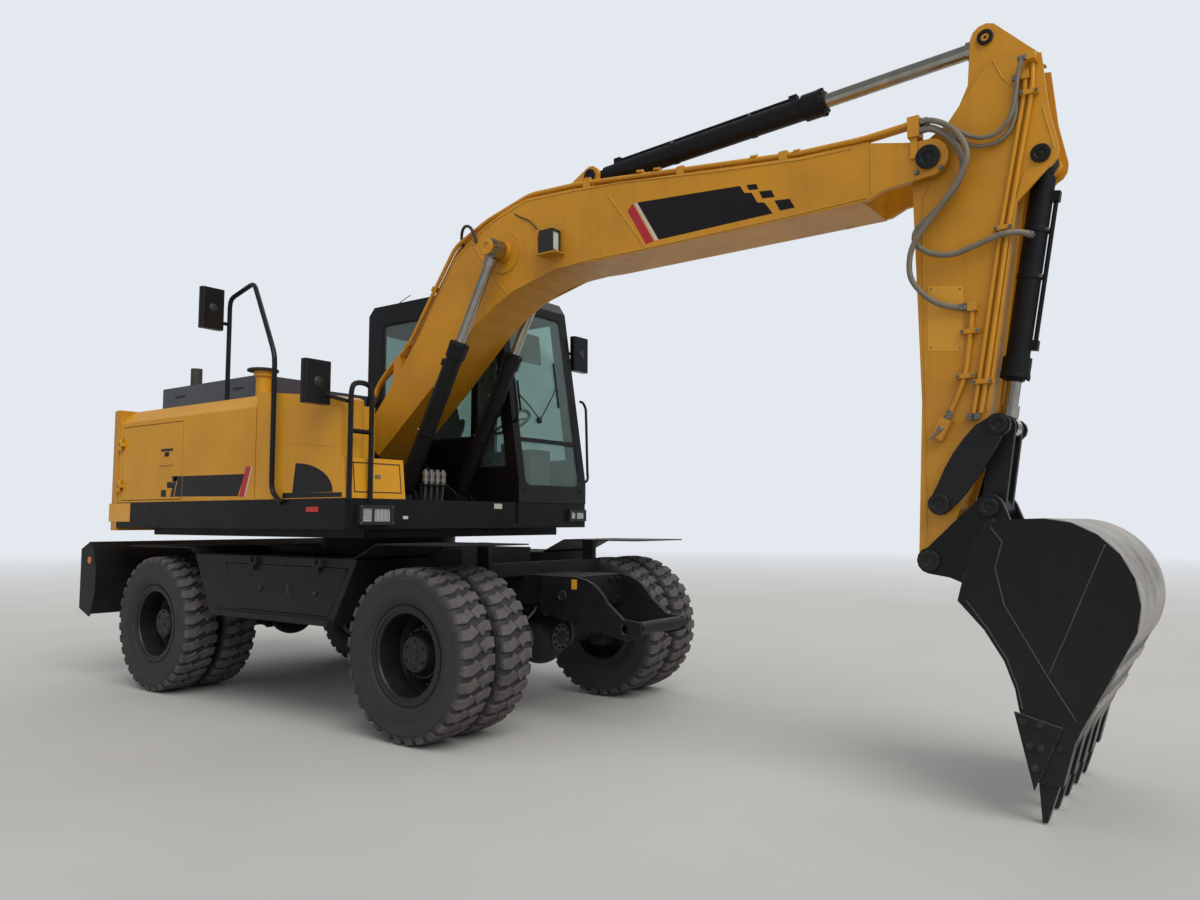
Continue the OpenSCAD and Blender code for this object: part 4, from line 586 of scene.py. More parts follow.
# Hexagon bolts with washers on every point of the host, turned to its "axis" and as wide as its "size"
def boltTree():
    tree, start = newTree("bolts", [("Head height", "Float", 0.62), ("Washer width", "Float", 1.35),
                                    ("Washer height", "Float", 0.14), ("Material", "Material", None)])
    head = addNode(tree, "GeometryNodeMeshCone", {"Vertices": 6, "Radius Top": 0.5, "Radius Bottom": 0.56,
                                                  "Depth": start.outputs["Head height"]})
    half = addNode(tree, "ShaderNodeMath", {0: start.outputs["Washer width"], 1: 0.5}, operation="MULTIPLY")
    ring = addNode(tree, "GeometryNodeMeshCylinder", {"Vertices": 16, "Radius": half,
                                                      "Depth": start.outputs["Washer height"]})
    both = addNode(tree, "GeometryNodeJoinGeometry")
    lift = addNode(tree, "ShaderNodeCombineXYZ", {"Z": start.outputs["Washer height"]})
    raised = addNode(tree, "GeometryNodeTransform", {"Geometry": head, "Translation": lift})
    fill(tree, both, {0: raised})
    fill(tree, both, {0: ring})
    points = addNode(tree, "GeometryNodeMeshToPoints", {"Mesh": start.outputs["Geometry"]})
    axis = addNode(tree, "GeometryNodeInputNamedAttribute", {"Name": "axis"}, data_type="FLOAT_VECTOR")
    size = addNode(tree, "GeometryNodeInputNamedAttribute", {"Name": "size"}, data_type="FLOAT")
    turn = addNode(tree, "FunctionNodeAlignRotationToVector", {"Vector": axis}, axis="Z")
    placed = addNode(tree, "GeometryNodeInstanceOnPoints", {
        "Points": points, "Instance": both, "Rotation": turn,
        "Scale": size})
    return endTree(tree, placed, start)


# A tube along every run of edges in the host, rounded through its points
def tubeTree():
    tree, start = newTree("tubes", [("Radius", "Float", 0.01), ("Sides", "Int", 12), ("Step", "Float", 0.02),
                                    ("Material", "Material", None)])
    line = addNode(tree, "GeometryNodeMeshToCurve", {"Mesh": start.outputs["Geometry"]})
    soft = addNode(tree, "GeometryNodeCurveSplineType", {"Curve": line}, spline_type="CATMULL_ROM")
    fine = addNode(tree, "GeometryNodeResampleCurve", {"Curve": soft, "Length": start.outputs["Step"]},
                   mode="LENGTH")
    length = addNode(tree, "GeometryNodeSplineParameter")
    kept = addNode(tree, "GeometryNodeStoreNamedAttribute", {
        "Geometry": fine, "Name": "along", "Value": length.outputs["Length"]}, data_type="FLOAT", domain="POINT")
    ring = addNode(tree, "GeometryNodeCurvePrimitiveCircle", {
        "Resolution": start.outputs["Sides"], "Radius": start.outputs["Radius"]})
    tube = addNode(tree, "GeometryNodeCurveToMesh", {"Curve": kept, "Profile Curve": ring, "Fill Caps": True})
    smooth = addNode(tree, "GeometryNodeSetShadeSmooth", {"Geometry": tube, "Shade Smooth": True})
    return endTree(tree, smooth, start)


# Weld beads: overlapping drops laid along the host's edges
def weldTree():
    tree, start = newTree("weldBeads", [("Bead width", "Float", 0.012), ("Pitch", "Float", 0.006),
                                        ("Material", "Material", None)])
    line = addNode(tree, "GeometryNodeMeshToCurve", {"Mesh": start.outputs["Geometry"]})
    points = addNode(tree, "GeometryNodeCurveToPoints", {"Curve": line, "Length": start.outputs["Pitch"]},
                     mode="LENGTH")
    half = addNode(tree, "ShaderNodeMath", {0: start.outputs["Bead width"], 1: 0.5}, operation="MULTIPLY")
    drop = addNode(tree, "GeometryNodeMeshIcoSphere", {"Radius": half, "Subdivisions": 1})
    placed = addNode(tree, "GeometryNodeInstanceOnPoints", {
        "Points": points, "Instance": drop, "Rotation": points.outputs["Rotation"],
        "Scale": (1.0, 1.0, 0.8)})
    whole = addNode(tree, "GeometryNodeRealizeInstances", {0: placed})
    smooth = addNode(tree, "GeometryNodeSetShadeSmooth", {"Geometry": whole, "Shade Smooth": True})
    return endTree(tree, smooth, start)


# One shape repeated round the Y axis through "Centre"
def ringTree():
    tree, start = newTree("ringOfPieces", [("Count", "Int", 32), ("Offset", "Float", 0.0),
                                           ("Centre", "Vector", None), ("Material", "Material", None)])
    spots = addNode(tree, "GeometryNodePoints", {"Count": start.outputs["Count"]})
    number = addNode(tree, "GeometryNodeInputIndex")
    share = addNode(tree, "ShaderNodeMath", {0: number, 1: start.outputs["Offset"]}, operation="ADD")
    part = addNode(tree, "ShaderNodeMath", {0: share, 1: start.outputs["Count"]}, operation="DIVIDE")
    angle = addNode(tree, "ShaderNodeMath", {0: part, 1: 2 * math.pi}, operation="MULTIPLY")
    turn = addNode(tree, "ShaderNodeCombineXYZ", {"Y": angle})
    placed = addNode(tree, "GeometryNodeInstanceOnPoints", {
        "Points": spots, "Instance": start.outputs["Geometry"], "Rotation": turn})
    moved = addNode(tree, "GeometryNodeTransform", {"Geometry": placed,
                                                    "Translation": start.outputs["Centre"]})
    return endTree(tree, moved, start)


bolts, tubes, welds, ringOf = boltTree(), tubeTree(), weldTree(), ringTree()


def boltHost(places):
    mesh = bpy.data.meshes.new("boltHost")
    mesh.from_pydata([at(*p[0]) for p in places], [], [])
    mesh.attributes.new("axis", "FLOAT_VECTOR", "POINT")
    mesh.attributes.new("size", "FLOAT", "POINT")
    for i, (_, direction, width) in enumerate(places):
        mesh.attributes["axis"].data[i].vector = Vector(direction).normalized()
        mesh.attributes["size"].data[i].value = width / 1000
    return mesh


# places: (point, axis, width over the head) each
def addBolts(name, places, body, material=zinc):
    return runTree(bolts, name, boltHost(places), {"Material": material}, body)


def lineHost(paths):
    points, edges = [], []
    for path in paths:
        first = len(points)
        points += [at(*p) for p in path]
        edges += [(i, i + 1) for i in range(first, first + len(path) - 1)]
    mesh = bpy.data.meshes.new("lineHost")
    mesh.from_pydata(points, edges, [])
    return mesh


def addTubes(name, paths, diameter, material, body, sides=12, step=20):
    return runTree(tubes, name, lineHost(paths), {
        "Radius": diameter / 2000, "Sides": sides, "Step": step / 1000, "Material": material}, body)


def addWelds(name, paths, width, material, body):
    return runTree(welds, name, lineHost(paths), {
        "Bead width": width / 1000, "Pitch": width / 1800, "Material": material}, body)


# Points round a circle in the XZ plane
def circlePoints(centre, radius, count, start=0.0):
    x, y, z = centre
    angles = [math.radians(start) + 2 * math.pi * i / count for i in range(count)]
    return [(x + radius * math.cos(a), y, z + radius * math.sin(a)) for a in angles]


# The pairs of neighbours round a closed ring
def ringEdges(points):
    return zip(points, points[1:] + points[:1])


farOut = 2600  # beyond every side face


# How far out along +Y or -Y the named CAD surfaces lie at one place, in millimetres
def faceAt(names, x, z, side):
    found = []
    for name in names:
        into = nodes[name].matrix_world.inverted()
        start, ray = into @ at(x, side * farOut, z), (into.to_3x3() @ Vector((0, -side, 0))).normalized()
        hit, spot, _, _ = nodes[name].ray_cast(start, ray)
        if hit:
            found.append((nodes[name].matrix_world @ spot).y * 1000)
    return max(found, key=lambda y: y * side) if found else None


# The points of those surfaces at places (x, z), moved out a little. A place beside them gives none
def onFace(names, places, side, out=0.0):
    found = [(x, faceAt(names, x, z, side), z) for x, z in places]
    return [(x, y + side * out, z) for x, y, z in found if y is not None]



# Thin flat pieces on a side face: outlines in x and z, lifted a little off what they lie on
def addDecals(name, outlines, surface, side, material, body, slot, lift=0.7, sunk=0.6):
    bm = bmesh.new()
    for outline in outlines:
        x, z = (sum(p[i] for p in outline) / len(outline) for i in (0, 1))
        y = faceAt(surface, x, z, side)
        if y is not None:
            addPlate(bm, outline, y - side * sunk, y + side * lift)
    return finishPiece(name, bm, material, body, slot)


# Turned covers on pins' ends: (x, z, radius, side, how far they stand out)
def addPinCovers(name, pins, surface, material, body):
    shapes = []
    for x, z, radius, side, proud in pins:
        y = faceAt(surface, x, z, side)
        hollow = 0.52 * radius
        shapes.append((addTurned, (x, y - side * 1.5, z), (0, side, 0), [
            (radius, 0), (radius, proud), (radius - 2.5, proud + 2), (hollow + 3, proud + 2), (hollow, proud),
            (hollow, proud - 5), (hollow * 0.4, proud - 5), (hollow * 0.3, proud - 3), (0, proud - 3)], 40))
    return makePiece(name, material, body, shapes)


# A point along a cylinder's axis from its foot pin, turned out to one side of the axis
def onRam(foot, eye, y, along, out=0.0, turn=0.0):
    axis = Vector((eye[0] - foot[0], 0, eye[1] - foot[1])).normalized()
    up = Vector((-axis.z, 0, axis.x))
    spot = Vector((foot[0], y, foot[1])) + axis * along + out * (
        math.cos(turn) * up + math.sin(turn) * Vector((0, 1, 0)))
    return tuple(spot)


# Gland nut with its wiper ring, and the bolts of the head
def addGland(name, foot, eye, ys, length, barrelD, rodD, body):
    axis = (Vector((eye[0] - foot[0], 0, eye[1] - foot[1]))).normalized()
    nuts, wipers, heads = [], [], []
    barrel, rod = barrelD / 2, rodD / 2
    inner = rod + 1.2
    for y in ys:
        nuts.append((addTurned, onRam(foot, eye, y, length - 0.5), axis, [
            (inner, 0), (barrel + 1, 0), (barrel + 1, 3), (barrel - 3, 5), (rod + 15, 5), (rod + 15, 12),
            (rod + 12, 15), (inner, 15)], 48, True))
        wipers.append((addTurned, onRam(foot, eye, y, length + 13), axis, [
            (inner - 0.9, 0), (rod + 9, 0), (rod + 9, 4), (rod + 4, 7), (inner - 0.9, 8)], 48, True))
        heads += [(onRam(foot, eye, y, length - 0.6, barrel + 7.5, math.radians(22.5 + 45 * i)), axis, 13)
                  for i in range(8)]
    makePiece(name, frameBlack, body, nuts)
    makePiece(name + "Wiper", sealRubber, body, wipers)
    addBolts(name + "Bolts", heads, body, frameBlack)


print("helpers and node trees")


# Tyres: a spun carcass with two staggered rows of lugs
tyre = {"radius": 509, "lugsPerRow": 32, "stagger": 0.45, "axleZ": 509, "planes": (788, 1108),
        "axles": {"front": 1550, "rear": -1250}, "sides": 96}


def tyreCarcass(bm, layer):
    # (radius, distance from the middle plane, how much the ground rubs there)
    half = [(254.3, 84, 0), (292, 88.6, 0.1), (292.4, 99, 0.1), (302, 108, 0.15), (318, 117, 0.1), (340, 125, 0.15),
            (352, 127.5, 0.1), (356, 129.5, 0.25), (361, 129.6, 0.25), (365, 128.5, 0.1), (390, 131.2, 0.2),
            (420, 131.8, 0.2), (438, 130.4, 0.15), (441, 131.6, 0.3), (446, 131.4, 0.3), (449, 129.6, 0.15),
            (466, 125, 0.3), (480, 116, 0.3), (486, 104, 0.25), (488, 60, 0.2), (489, 0, 0.2)]
    profile = half + [(r, -y, w) for r, y, w in reversed(half[:-1])]
    rings = []
    for i in range(tyre["sides"]):
        a = 2 * math.pi * i / tyre["sides"]
        ring = []
        for r, y, rubbed in profile:
            v = bm.verts.new((r / 1000 * math.sin(a), y / 1000, r / 1000 * math.cos(a)))
            v[layer] = rubbed
            ring.append(v)
        rings.append(ring)
    for a, b in ringEdges(rings):
        for k in range(len(profile)):
            m = (k + 1) % len(profile)
            bm.faces.new((a[k], a[m], b[m], b[k]))


def lugMesh(side):
    # One lug, at the top of the tyre: along the tread, across it, radius
    top = [(-29, 122, 499.5), (29, 122, 499.5), (33, 60, 506.5), (58, 34, 508.4), (9, -8, 508.9), (-29, 62, 506.5)]
    low = [(-27, 129.5, 470), (27, 129.5, 470)]
    deep = [(-34, 116, 478), (34, 116, 478), (39, 58, 484), (66, 34, 485), (9, -19, 486), (-36, 64, 484)]
    foot = [(-22, 129.2, 456), (22, 129.2, 456)]
    bm = bmesh.new()
    layer = bm.verts.layers.float.new("rub")

    def corner(p, rubbed):
        u, v, r = p
        u = u if side > 0 else -u
        a = u / tyre["radius"]
        vert = bm.verts.new((r / 1000 * math.sin(a), side * v / 1000, r / 1000 * math.cos(a)))
        vert[layer] = rubbed
        return vert

    t, s, d, f = [[corner(p, rubbed) for p in ring] for ring, rubbed in (
        (top, 1.0), (low, 0.55), (deep, 0.3), (foot, 0.3))]
    quads = [(t[0], t[1], t[2], t[5]), (t[5], t[2], t[3], t[4]), (t[1], t[0], s[0], s[1]),
             (s[1], s[0], f[0], f[1])]
    quads += [(t[i], t[i + 1], d[i + 1], d[i]) for i in range(1, 5)]
    quads += [(t[5], t[0], d[0], d[5]), (t[0], s[0], f[0], d[0]), (s[1], t[1], d[1], f[1]),
              (f[1], f[0], d[0], d[1]), (d[5], d[0], d[1], d[2]), (d[5], d[2], d[3], d[4])]
    for quad in quads:
        bm.faces.new(quad)
    bmesh.ops.recalc_face_normals(bm, faces=bm.faces)
    worn = [e for e in bm.edges if e.calc_face_angle(0) > 0.5 and max(v[layer] for v in e.verts) > 0.5]
    bmesh.ops.bevel(bm, geom=worn, offset=0.0035, segments=1, affect="EDGES")
    for face in bm.faces:
        face.smooth = False
    mesh = bpy.data.meshes.new("lug")
    bm.to_mesh(mesh)
    bm.free()
    return mesh


lugShapes = {side: lugMesh(side) for side in (-1, 1)}


def makeTyres(place, x, side):
    name, body = "tyreTread_" + place, "wheels_" + place
    bm = bmesh.new()
    layer = bm.verts.layers.float.new("rub")
    for plane in tyre["planes"]:
        centre = at(x, side * plane, tyre["axleZ"])
        part = bmesh.new()
        partLayer = part.verts.layers.float.new("rub")
        tyreCarcass(part, partLayer)
        bmesh.ops.transform(part, matrix=Matrix.Translation(centre), verts=part.verts)
        bmesh.ops.recalc_face_normals(part, faces=part.faces)
        for face in part.faces:
            face.smooth = True
        mesh = bpy.data.meshes.new("carcass")
        part.to_mesh(mesh)
        part.free()
        bm.from_mesh(mesh)
        for row, offset in ((1, 0.0), (-1, tyre["stagger"])):
            lugs = runTree(ringOf, "lugs", lugShapes[row], {
                "Count": tyre["lugsPerRow"], "Offset": offset, "Centre": centre, "Material": tyreRubber}, body)
            bm.from_mesh(lugs.data)
            bpy.data.objects.remove(lugs)
    mesh = bpy.data.meshes.new(name)
    bm.to_mesh(mesh)
    bm.free()
    mesh.materials.clear()
    mesh.materials.append(tyreRubber)
    piece = bpy.data.objects.new(name, mesh)
    bpy.context.scene.collection.objects.link(piece)
    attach(piece, body)
    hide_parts("tyres_" + place)


for axle, axleX in tyre["axles"].items():
    for side, label in sides:
        makeTyres(f"{axle}_{label.lower()}", axleX, side)
print("tyres")


# A point y millimetres out on the axle of a wheel pair
def onAxle(x, side, y):
    return x, side * y, tyre["axleZ"]


# Rims: lock rings, nuts on their studs, hub covers with bolts and plugs, tyre valves.
# A ring of fasteners has its radius, count and first angle.
rim = {"discFace": 961, "ringPlane": 1207, "hubFace": 1078, "coverFace": 1137, "nuts": (168, 10, 18),
       "hubBolts": (142.5, 12, 7), "coverBolts": (81, 6, 30), "plugs": {"front": 2, "rear": 5}}
for axle, x in tyre["axles"].items():
    for side, label in sides:
        place, body, out = axle.capitalize() + label, f"wheels_{axle}_{label.lower()}", (0, side, 0)
        makePiece("rimRings" + place, rimBlack, body, [
            (addTurned, onAxle(x, side, rim["ringPlane"]), out, [
                (262, -0.5), (284, -0.5), (289, 1.5), (289, 4), (284, 7), (266, 7), (262, 4)], 72, True),
            (addTurned, onAxle(x, side, rim["hubFace"]), out, [
                (136, -1), (149, -1), (149, 2), (146, 4), (136.5, 4)], 64, True),
            (addTurned, onAxle(x, side, rim["coverFace"] - 1), out, [
                (104, 0), (104, 3), (100, 6), (60, 6), (57, 3), (30, 3), (28, 9), (0, 9)], 64)])
        nuts = circlePoints(onAxle(x, side, rim["discFace"]), *rim["nuts"])
        addBolts("wheelNuts" + place, [(spot, out, 31) for spot in nuts], body)
        makePiece("wheelStuds" + place, zinc, body, [
            (addTurned, spot, out, [(9, 10), (9, 33), (7.5, 35), (0, 35)], 14) for spot in nuts])
        covers = [(spot, out, width) for key, face, width in (
            ("hubBolts", rim["hubFace"] + 3.5, 15), ("coverBolts", rim["coverFace"] + 4.5, 14))
            for spot in circlePoints(onAxle(x, side, face), *rim[key])]
        addBolts("hubBolts" + place, covers, body, rimBlack)
        makePiece("hubPlugs" + place, castGrey, body, [
            (addTurned, spot, out, [(11, 0), (11, 2.4), (7, 2.6), (6, 1), (0, 1)], 20)
            for spot in circlePoints(onAxle(x, side, rim["coverFace"] + 2), 44, rim["plugs"][axle], 90)])
        # Valve of the outer tyre: thin stem and cap, leaned inwards over the disc
        foot, mid, tip = [(x + dx, side * y, tyre["axleZ"] + dz) for dx, y, dz in (
            (150, 1052, -172), (146, 1105, -168), (138, 1150, -158))]
        addTubes("tyreValve" + place, [[foot, mid, tip]], 8, zinc, body, sides=10, step=8)
        capEnd = tuple(t + (t - m) * 0.42 for t, m in zip(tip, mid))
        makePiece("valveCap" + place, mouldedPlastic, body, [(roundBar, tip, capEnd, 11, 12, 1.5)])
print("rims")

# Boom: bands of livery film on both sides
boomLivery = {
    "Black": [[(2487, 3294), (3209, 3242), (3237, 3194), (3284, 3184), (3320, 3119), (3364, 3110), (3415, 3036),
               (2647, 3025)],
              [(3252, 3237), (3314, 3231), (3328, 3196), (3267, 3204)],
              [(3331, 3182), (3408, 3173), (3429, 3129), (3353, 3136)],
              [(3427, 3108), (3519, 3099), (3550, 3042), (3460, 3043)]],
    "White": [[(2462, 3296), (2484, 3294), (2643, 3025), (2619, 3023)]],
    "Red": [[(2412, 3253), (2452, 3294), (2610, 3023), (2552, 3013)]]}
for side, label in sides:
    for tone, film in films.items():
        addDecals("boomBand" + tone + label, boomLivery[tone], ["boom"], side, film, "boom_body", "cast_yellow")

# Weld beads along the joints of the boom's plates, 11 and 12 mm wide
boomSeams = {"across": [(2262, 3386), (2404, 3193), (2544, 3001)], "tip": [(3990, 3290), (3985, 3036)],
             "kink": [(1046, 3290), (1240, 3040), (1392, 2866)],
             "low": [(700, 2324), (1046, 2646), (1220, 2778), (1399, 2871), (1628, 2921), (1812, 2976), (2115, 2990),
                     (2507, 2988), (3580, 3001), (3960, 3012)],
             "high": [(640, 2850), (864, 3186), (1065, 3322), (1259, 3416), (1439, 3466), (1559, 3499), (1963, 3481),
                      (2354, 3452), (3102, 3359), (3586, 3310), (3881, 3300)]}
for side, label in sides:
    addWelds("boomWelds" + label, [onFace(["boom"], seam, side, 0.5) for seam in boomSeams.values()], 11,
             paintedHighlightWeldYellow, "boom_body")
    ring = [(x, z) for x, _, z in circlePoints((1361, 0, 3167), 150, 40)]
    addWelds("boomEyeWeld" + label, [onFace(["boom"], ring + ring[:1], side, 0.5)], 12, paintedHighlightWeldYellow, "boom_body")

# Covers on the boom's pins as (x, z, radius, how far they stand out), and the bolts of two pins' lock plates
boomPins = {"eye": (1361, 3167, 56, 10), "tip": (4289, 3152, 62, 12), "armRam": (2040, 3600, 44, 8)}
for label, (x, z, radius, proud) in boomPins.items():
    pins = [(x, z, radius, side, proud) for side, _ in sides]
    surface, material, body = ((["boom", "boom_ram_rods"], gearYellow, "boom_rods") if label == "eye"
                               else (["boom", "arm_ram_barrel"], linkBlack, "boom_body"))
    addPinCovers("boomPin" + label.capitalize(), pins, surface, material, body)
lockBolts = [(point, (0, side, 0), 22) for x, z in ((2040, 3600), (4289, 3152)) for side, _ in sides
             for point in onFace(["boom"], [(x - 62, z - 66), (x + 62, z - 66)], side)]
addBolts("boomPinBolts", lockBolts, "boom_body")

# Clamps that hold the pipes along the boom: two straps with their bolts, at (x, z, tilt)
pipeStraps = [(361, 2614, 47), (647, 3014, 54), (2080, 3528, -6), (2495, 3485, -7), (2623, 3470, -7),
              (3292, 3388, -7), (3560, 3356, -4)]
straps, strapBolts = [], []
for x, z, tilt in pipeStraps:
    lean = math.radians(tilt)
    along, up = (math.cos(lean), math.sin(lean)), (-math.sin(lean), math.cos(lean))
    corners = [(x + along[0] * a + up[0] * b, z + along[1] * a + up[1] * b)
               for a, b in ((-19, 6), (19, 6), (19, 19.5), (-19, 19.5))]
    for side, _ in sides:
        straps.append((addPlate, corners, side * 106, side * 189))
        strapBolts.append(((x + up[0] * 19, side * 147.5, z + up[1] * 19), (up[0], 0, up[1]), 19))
makePiece("boomPipeStraps", gearYellow, "boom_body", straps, bevel=1.5)
addBolts("boomPipeStrapBolts", strapBolts, "boom_body")

# Work lamp on the boom: frame, ribbed lens and cable
makePiece("boomLampFrame", mouldedPlastic, "boom_body", [
    (addBlock, (1868, y0, z0), (1876, y1, z1)) for y0, y1, z0, z1 in (
        (-284, -204, 3074, 3082), (-284, -204, 3213, 3221), (-284, -276, 3082, 3213), (-212, -204, 3082, 3213))],
    bevel=1.0)
makePiece("boomLampLens", lensClear, "boom_body", [
    (addBlock, (1860, -275 + i * 7, 3084), (1868 + (i % 2) * 1.2, -275 + i * 7 + 6.2, 3211)) for i in range(9)],
    bevel=0.6)
addTubes("boomLampCable", [[(1448, -186, 3434), (1500, -194, 3400), (1600, -197, 3345), (1668, -197, 3270),
                            (1700, -197, 3190), (1722, -200, 3120), (1750, -214, 3085), (1764, -226, 3072)]],
         9, blackHose, "boom_body", sides=8, step=12)

# Hose loop beside the cylinder's eye
addTubes("boomEyeHose", [[(905, -120, 3290), (913, -160, 3338), (940, -186, 3398), (990, -205, 3425),
                          (1040, -205, 3408), (1078, -200, 3345), (1092, -196, 3290)]], 22, blackHose, "boom_body")

# Cylinders: foot pin and rod's eye in x and z, places across, head, diameters of barrel and rod, and where two
# bands hold the oil line
rams = {"boom": {"pins": ((460, 1450), (1361, 3167)), "ys": (-288, 288), "head": 1230, "barrel": 116, "rod": 71.0,
                 "bands": (520, 860), "body": "boom_cylinders"},
        "arm": {"pins": ((2040, 3600), (4559, 3750)), "ys": (0,), "head": 1620, "barrel": 130, "rod": 79.6,
                "bands": (600, 1150), "body": "arm_cylinder"},
        "bucket": {"pins": ((4804, 3068), (4583, 1756)), "ys": (0,), "head": 1080, "barrel": 112, "rod": 68.4,
                   "bands": (330, 560), "body": "bucket_cylinder"}}
for label, ram in rams.items():
    addGland(label + "RamGland", *ram["pins"], ram["ys"], ram["head"], ram["barrel"], ram["rod"], ram["body"])
for label, ram in rams.items():
    foot, eye = ram["pins"]
    axis = Vector((eye[0] - foot[0], 0, eye[1] - foot[1]))
    r = ram["barrel"] / 2
    bands, heads = [], []
    for y in ram["ys"]:
        for along in ram["bands"]:
            bands.append((addTurned, onRam(foot, eye, y, along), axis, [
                (r - 1, 0), (r + 4, 0), (r + 4, 26), (r - 1, 26)], 40, True))
            base = onRam(foot, eye, y, along + 13)
            for turn in (-0.5, 0.5):
                way = [a - b for a, b in zip(onRam(foot, eye, y, along + 13, 1.0, turn), base)]
                heads.append((tuple(b + w * (r + 3.6) for b, w in zip(base, way)), way, 15))
    makePiece(label + "RamBands", frameBlack, ram["body"], bands, bevel=0.8)
    addBolts(label + "RamBandBolts", heads, ram["body"])
print("boom and cylinders")

# Arm: a blank plate, its welds, pins' covers and the bolts of the clamps
armPlate = {"outline": [(4251, 2499), (4424, 2473), (4414, 2142), (4242, 2161)],
            "rivets": [(4268, 2480), (4408, 2460), (4400, 2160), (4258, 2178)]}
armSeams = [[(4826, 3560), (4832, 3500), (4820, 3294), (4862, 3090), (4838, 3040), (4736, 3012), (4680, 2851),
             (4519, 1830), (4440, 1400)],
            [(4384, 3310), (4236, 2952), (4227, 2426), (4224, 1907), (4211, 1190)],
            [(4600, 3600), (4640, 3500), (4700, 3420), (4790, 3380)]]
for side, label in sides:
    addDecals("armPlate" + label, [armPlate["outline"]], ["arm"], side, filmYellow, "arm_body", "cast_yellow",
              lift=1.2)
    addBolts("armPlateRivets" + label, [
        (point, (0, side, 0), 7) for point in onFace(["arm"], armPlate["rivets"], side, 1.0)], "arm_body")
    addWelds("armWelds" + label, [onFace(["arm"], seam, side, 0.5) for seam in armSeams], 10, paintedHighlightWeldYellow,
             "arm_body")

armPins = {"arm_body": [(4804, 3068, 46, 8), (4559, 3750, 40, 6)],
           "guide_links": [(4297, 1374, 52, 9), (4583, 1756, 46, 9)],
           "bucket_body": [(4235, 1092, 52, 9), (4523, 1356, 46, 9)]}
for body, pins in armPins.items():
    addPinCovers(body + "Pins", [(x, z, r, side, proud) for x, z, r, proud in pins for side, _ in sides],
                 ["arm", "side_links", "bucket", "h_link"], linkBlack, body)

# Bolts of the pipe clamps, and the lever and unions of the shut-off valve
clamps = ((4456, 2234, 36), (4427, 2011, 36), (4508, 1977, 38), (4626, 2730, 33), (4766, 3380, 33))
addBolts("armPipeBolts", [((x + dx, -162.0, z), (0, -1, 0), 14) for x, z, reach in clamps
                          for dx in (-reach, reach)], "arm_body")
makePiece("armValveLever", zinc, "arm_body", [
    (addTurned, (4308, -181.5, 1752), (0, -1, 0), [(13, 0), (13, 9), (11, 11), (0, 11)], 20),
    (addPlate, [(4302, 1758), (4313, 1748), (4262, 1690), (4254, 1698)], -192, -188)], bevel=0.8)
makePiece("armPipeUnions", zinc, "arm_body", [
    (roundBar, (x0, -145.3, z0), (x1, -145.3, z1), width, 6, 2) for x0, z0, x1, z1, width in (
        (4330, 1801, 4346, 1833, 38), (4346, 1833, 4351, 1843, 34), (4470, 2330, 4472, 2368, 37),
        (4473, 1790, 4477, 1822, 32), (4439, 1790, 4443, 1822, 32))])

# Hoses over the joints: each as its CAD route, body on either end, diameter and cover
hoseRoutes = {
    "tip_hoses": {"bodies": ("boom_body", "arm_body"), "diameter": 21.6, "routes": [
        [(4250.3, -155, 3362), (4275, -155, 3362), (4304, -158, 3355), (4350, -164, 3330), (4410, -170, 3283),
         (4470, -176, 3232), (4512, -178, 3208), (4553, -178, 3195), (4614, -178, 3200), (4665, -180, 3243),
         (4695, -182, 3303), (4713, -184, 3392), (4722, -184, 3455), (4734, -182, 3512), (4748, -178, 3548),
         (4763.7, -178, 3548)],
        [(4250.3, -155, 3334), (4275, -155, 3334), (4302, -157, 3324), (4345, -160, 3296), (4400, -162, 3248),
         (4458, -162, 3198), (4510, -160, 3170), (4556, -158, 3160), (4620, -154, 3168), (4672, -152, 3212),
         (4698, -150, 3280), (4706, -149, 3350), (4709, -148, 3410), (4712, -147, 3450), (4717, -147, 3472),
         (4729.7, -147, 3472)]]},
    "breaker_hose": {"bodies": ("boom_body", "arm_body"), "diameter": 29.6, "routes": [
        [(4250.3, -195, 3348), (4275, -195, 3348), (4312, -198, 3340), (4370, -206, 3306), (4430, -218, 3248),
         (4474, -226, 3170), (4486, -230, 3095), (4460, -229, 3025), (4409, -226, 2945), (4337, -220, 2863),
         (4257, -211, 2778), (4201, -201, 2702), (4178, -191, 2624), (4181, -182, 2541), (4221, -174, 2471),
         (4284, -166, 2409), (4350, -158, 2374), (4415, -152, 2360), (4447.7, -152, 2360)]]},
    "bucket_hose": {"bodies": ("boom_body", "arm_body"), "diameter": 29.6, "routes": [
        [(4250.3, -195, 3304), (4275, -195, 3304), (4320, -194, 3290), (4376, -190, 3250), (4425, -186, 3184),
         (4450, -178, 3110), (4446, -170, 3040), (4412, -168, 2976), (4357, -168, 2915), (4284, -168, 2852),
         (4218, -168, 2798), (4200, -170, 2744), (4228, -172, 2694), (4300, -174, 2648), (4398, -176, 2632),
         (4508, -178, 2658), (4600, -180, 2684), (4655, -178, 2692), (4702, -140, 2695), (4727, -95, 2695),
         (4738, -61.5, 2695)]]},
    "foot_hoses": {"bodies": ("upper", "boom_body"), "diameter": 29.6, "routes": [
        [(-11.1, 170, 2265.7), (-21, 170, 2243), (-28, 180, 2205), (-22, 210, 2145), (-10, 242, 2060),
         (-4, 260, 1960), (-8, 266, 1860), (-14, 266, 1760), (-16, 266, 1600), (-14, 266, 1440), (-14, 266, 1265.3)],
        [(-51.1, 125, 2265.7), (-61, 125, 2243), (-72, 136, 2208), (-80, 170, 2168), (-76, 212, 2116),
         (-64, 246, 2050), (-56, 264, 1980), (-54, 268, 1890), (-58, 268, 1780), (-60, 268, 1600), (-58, 268, 1440),
         (-58, 268, 1265.3)]]}}
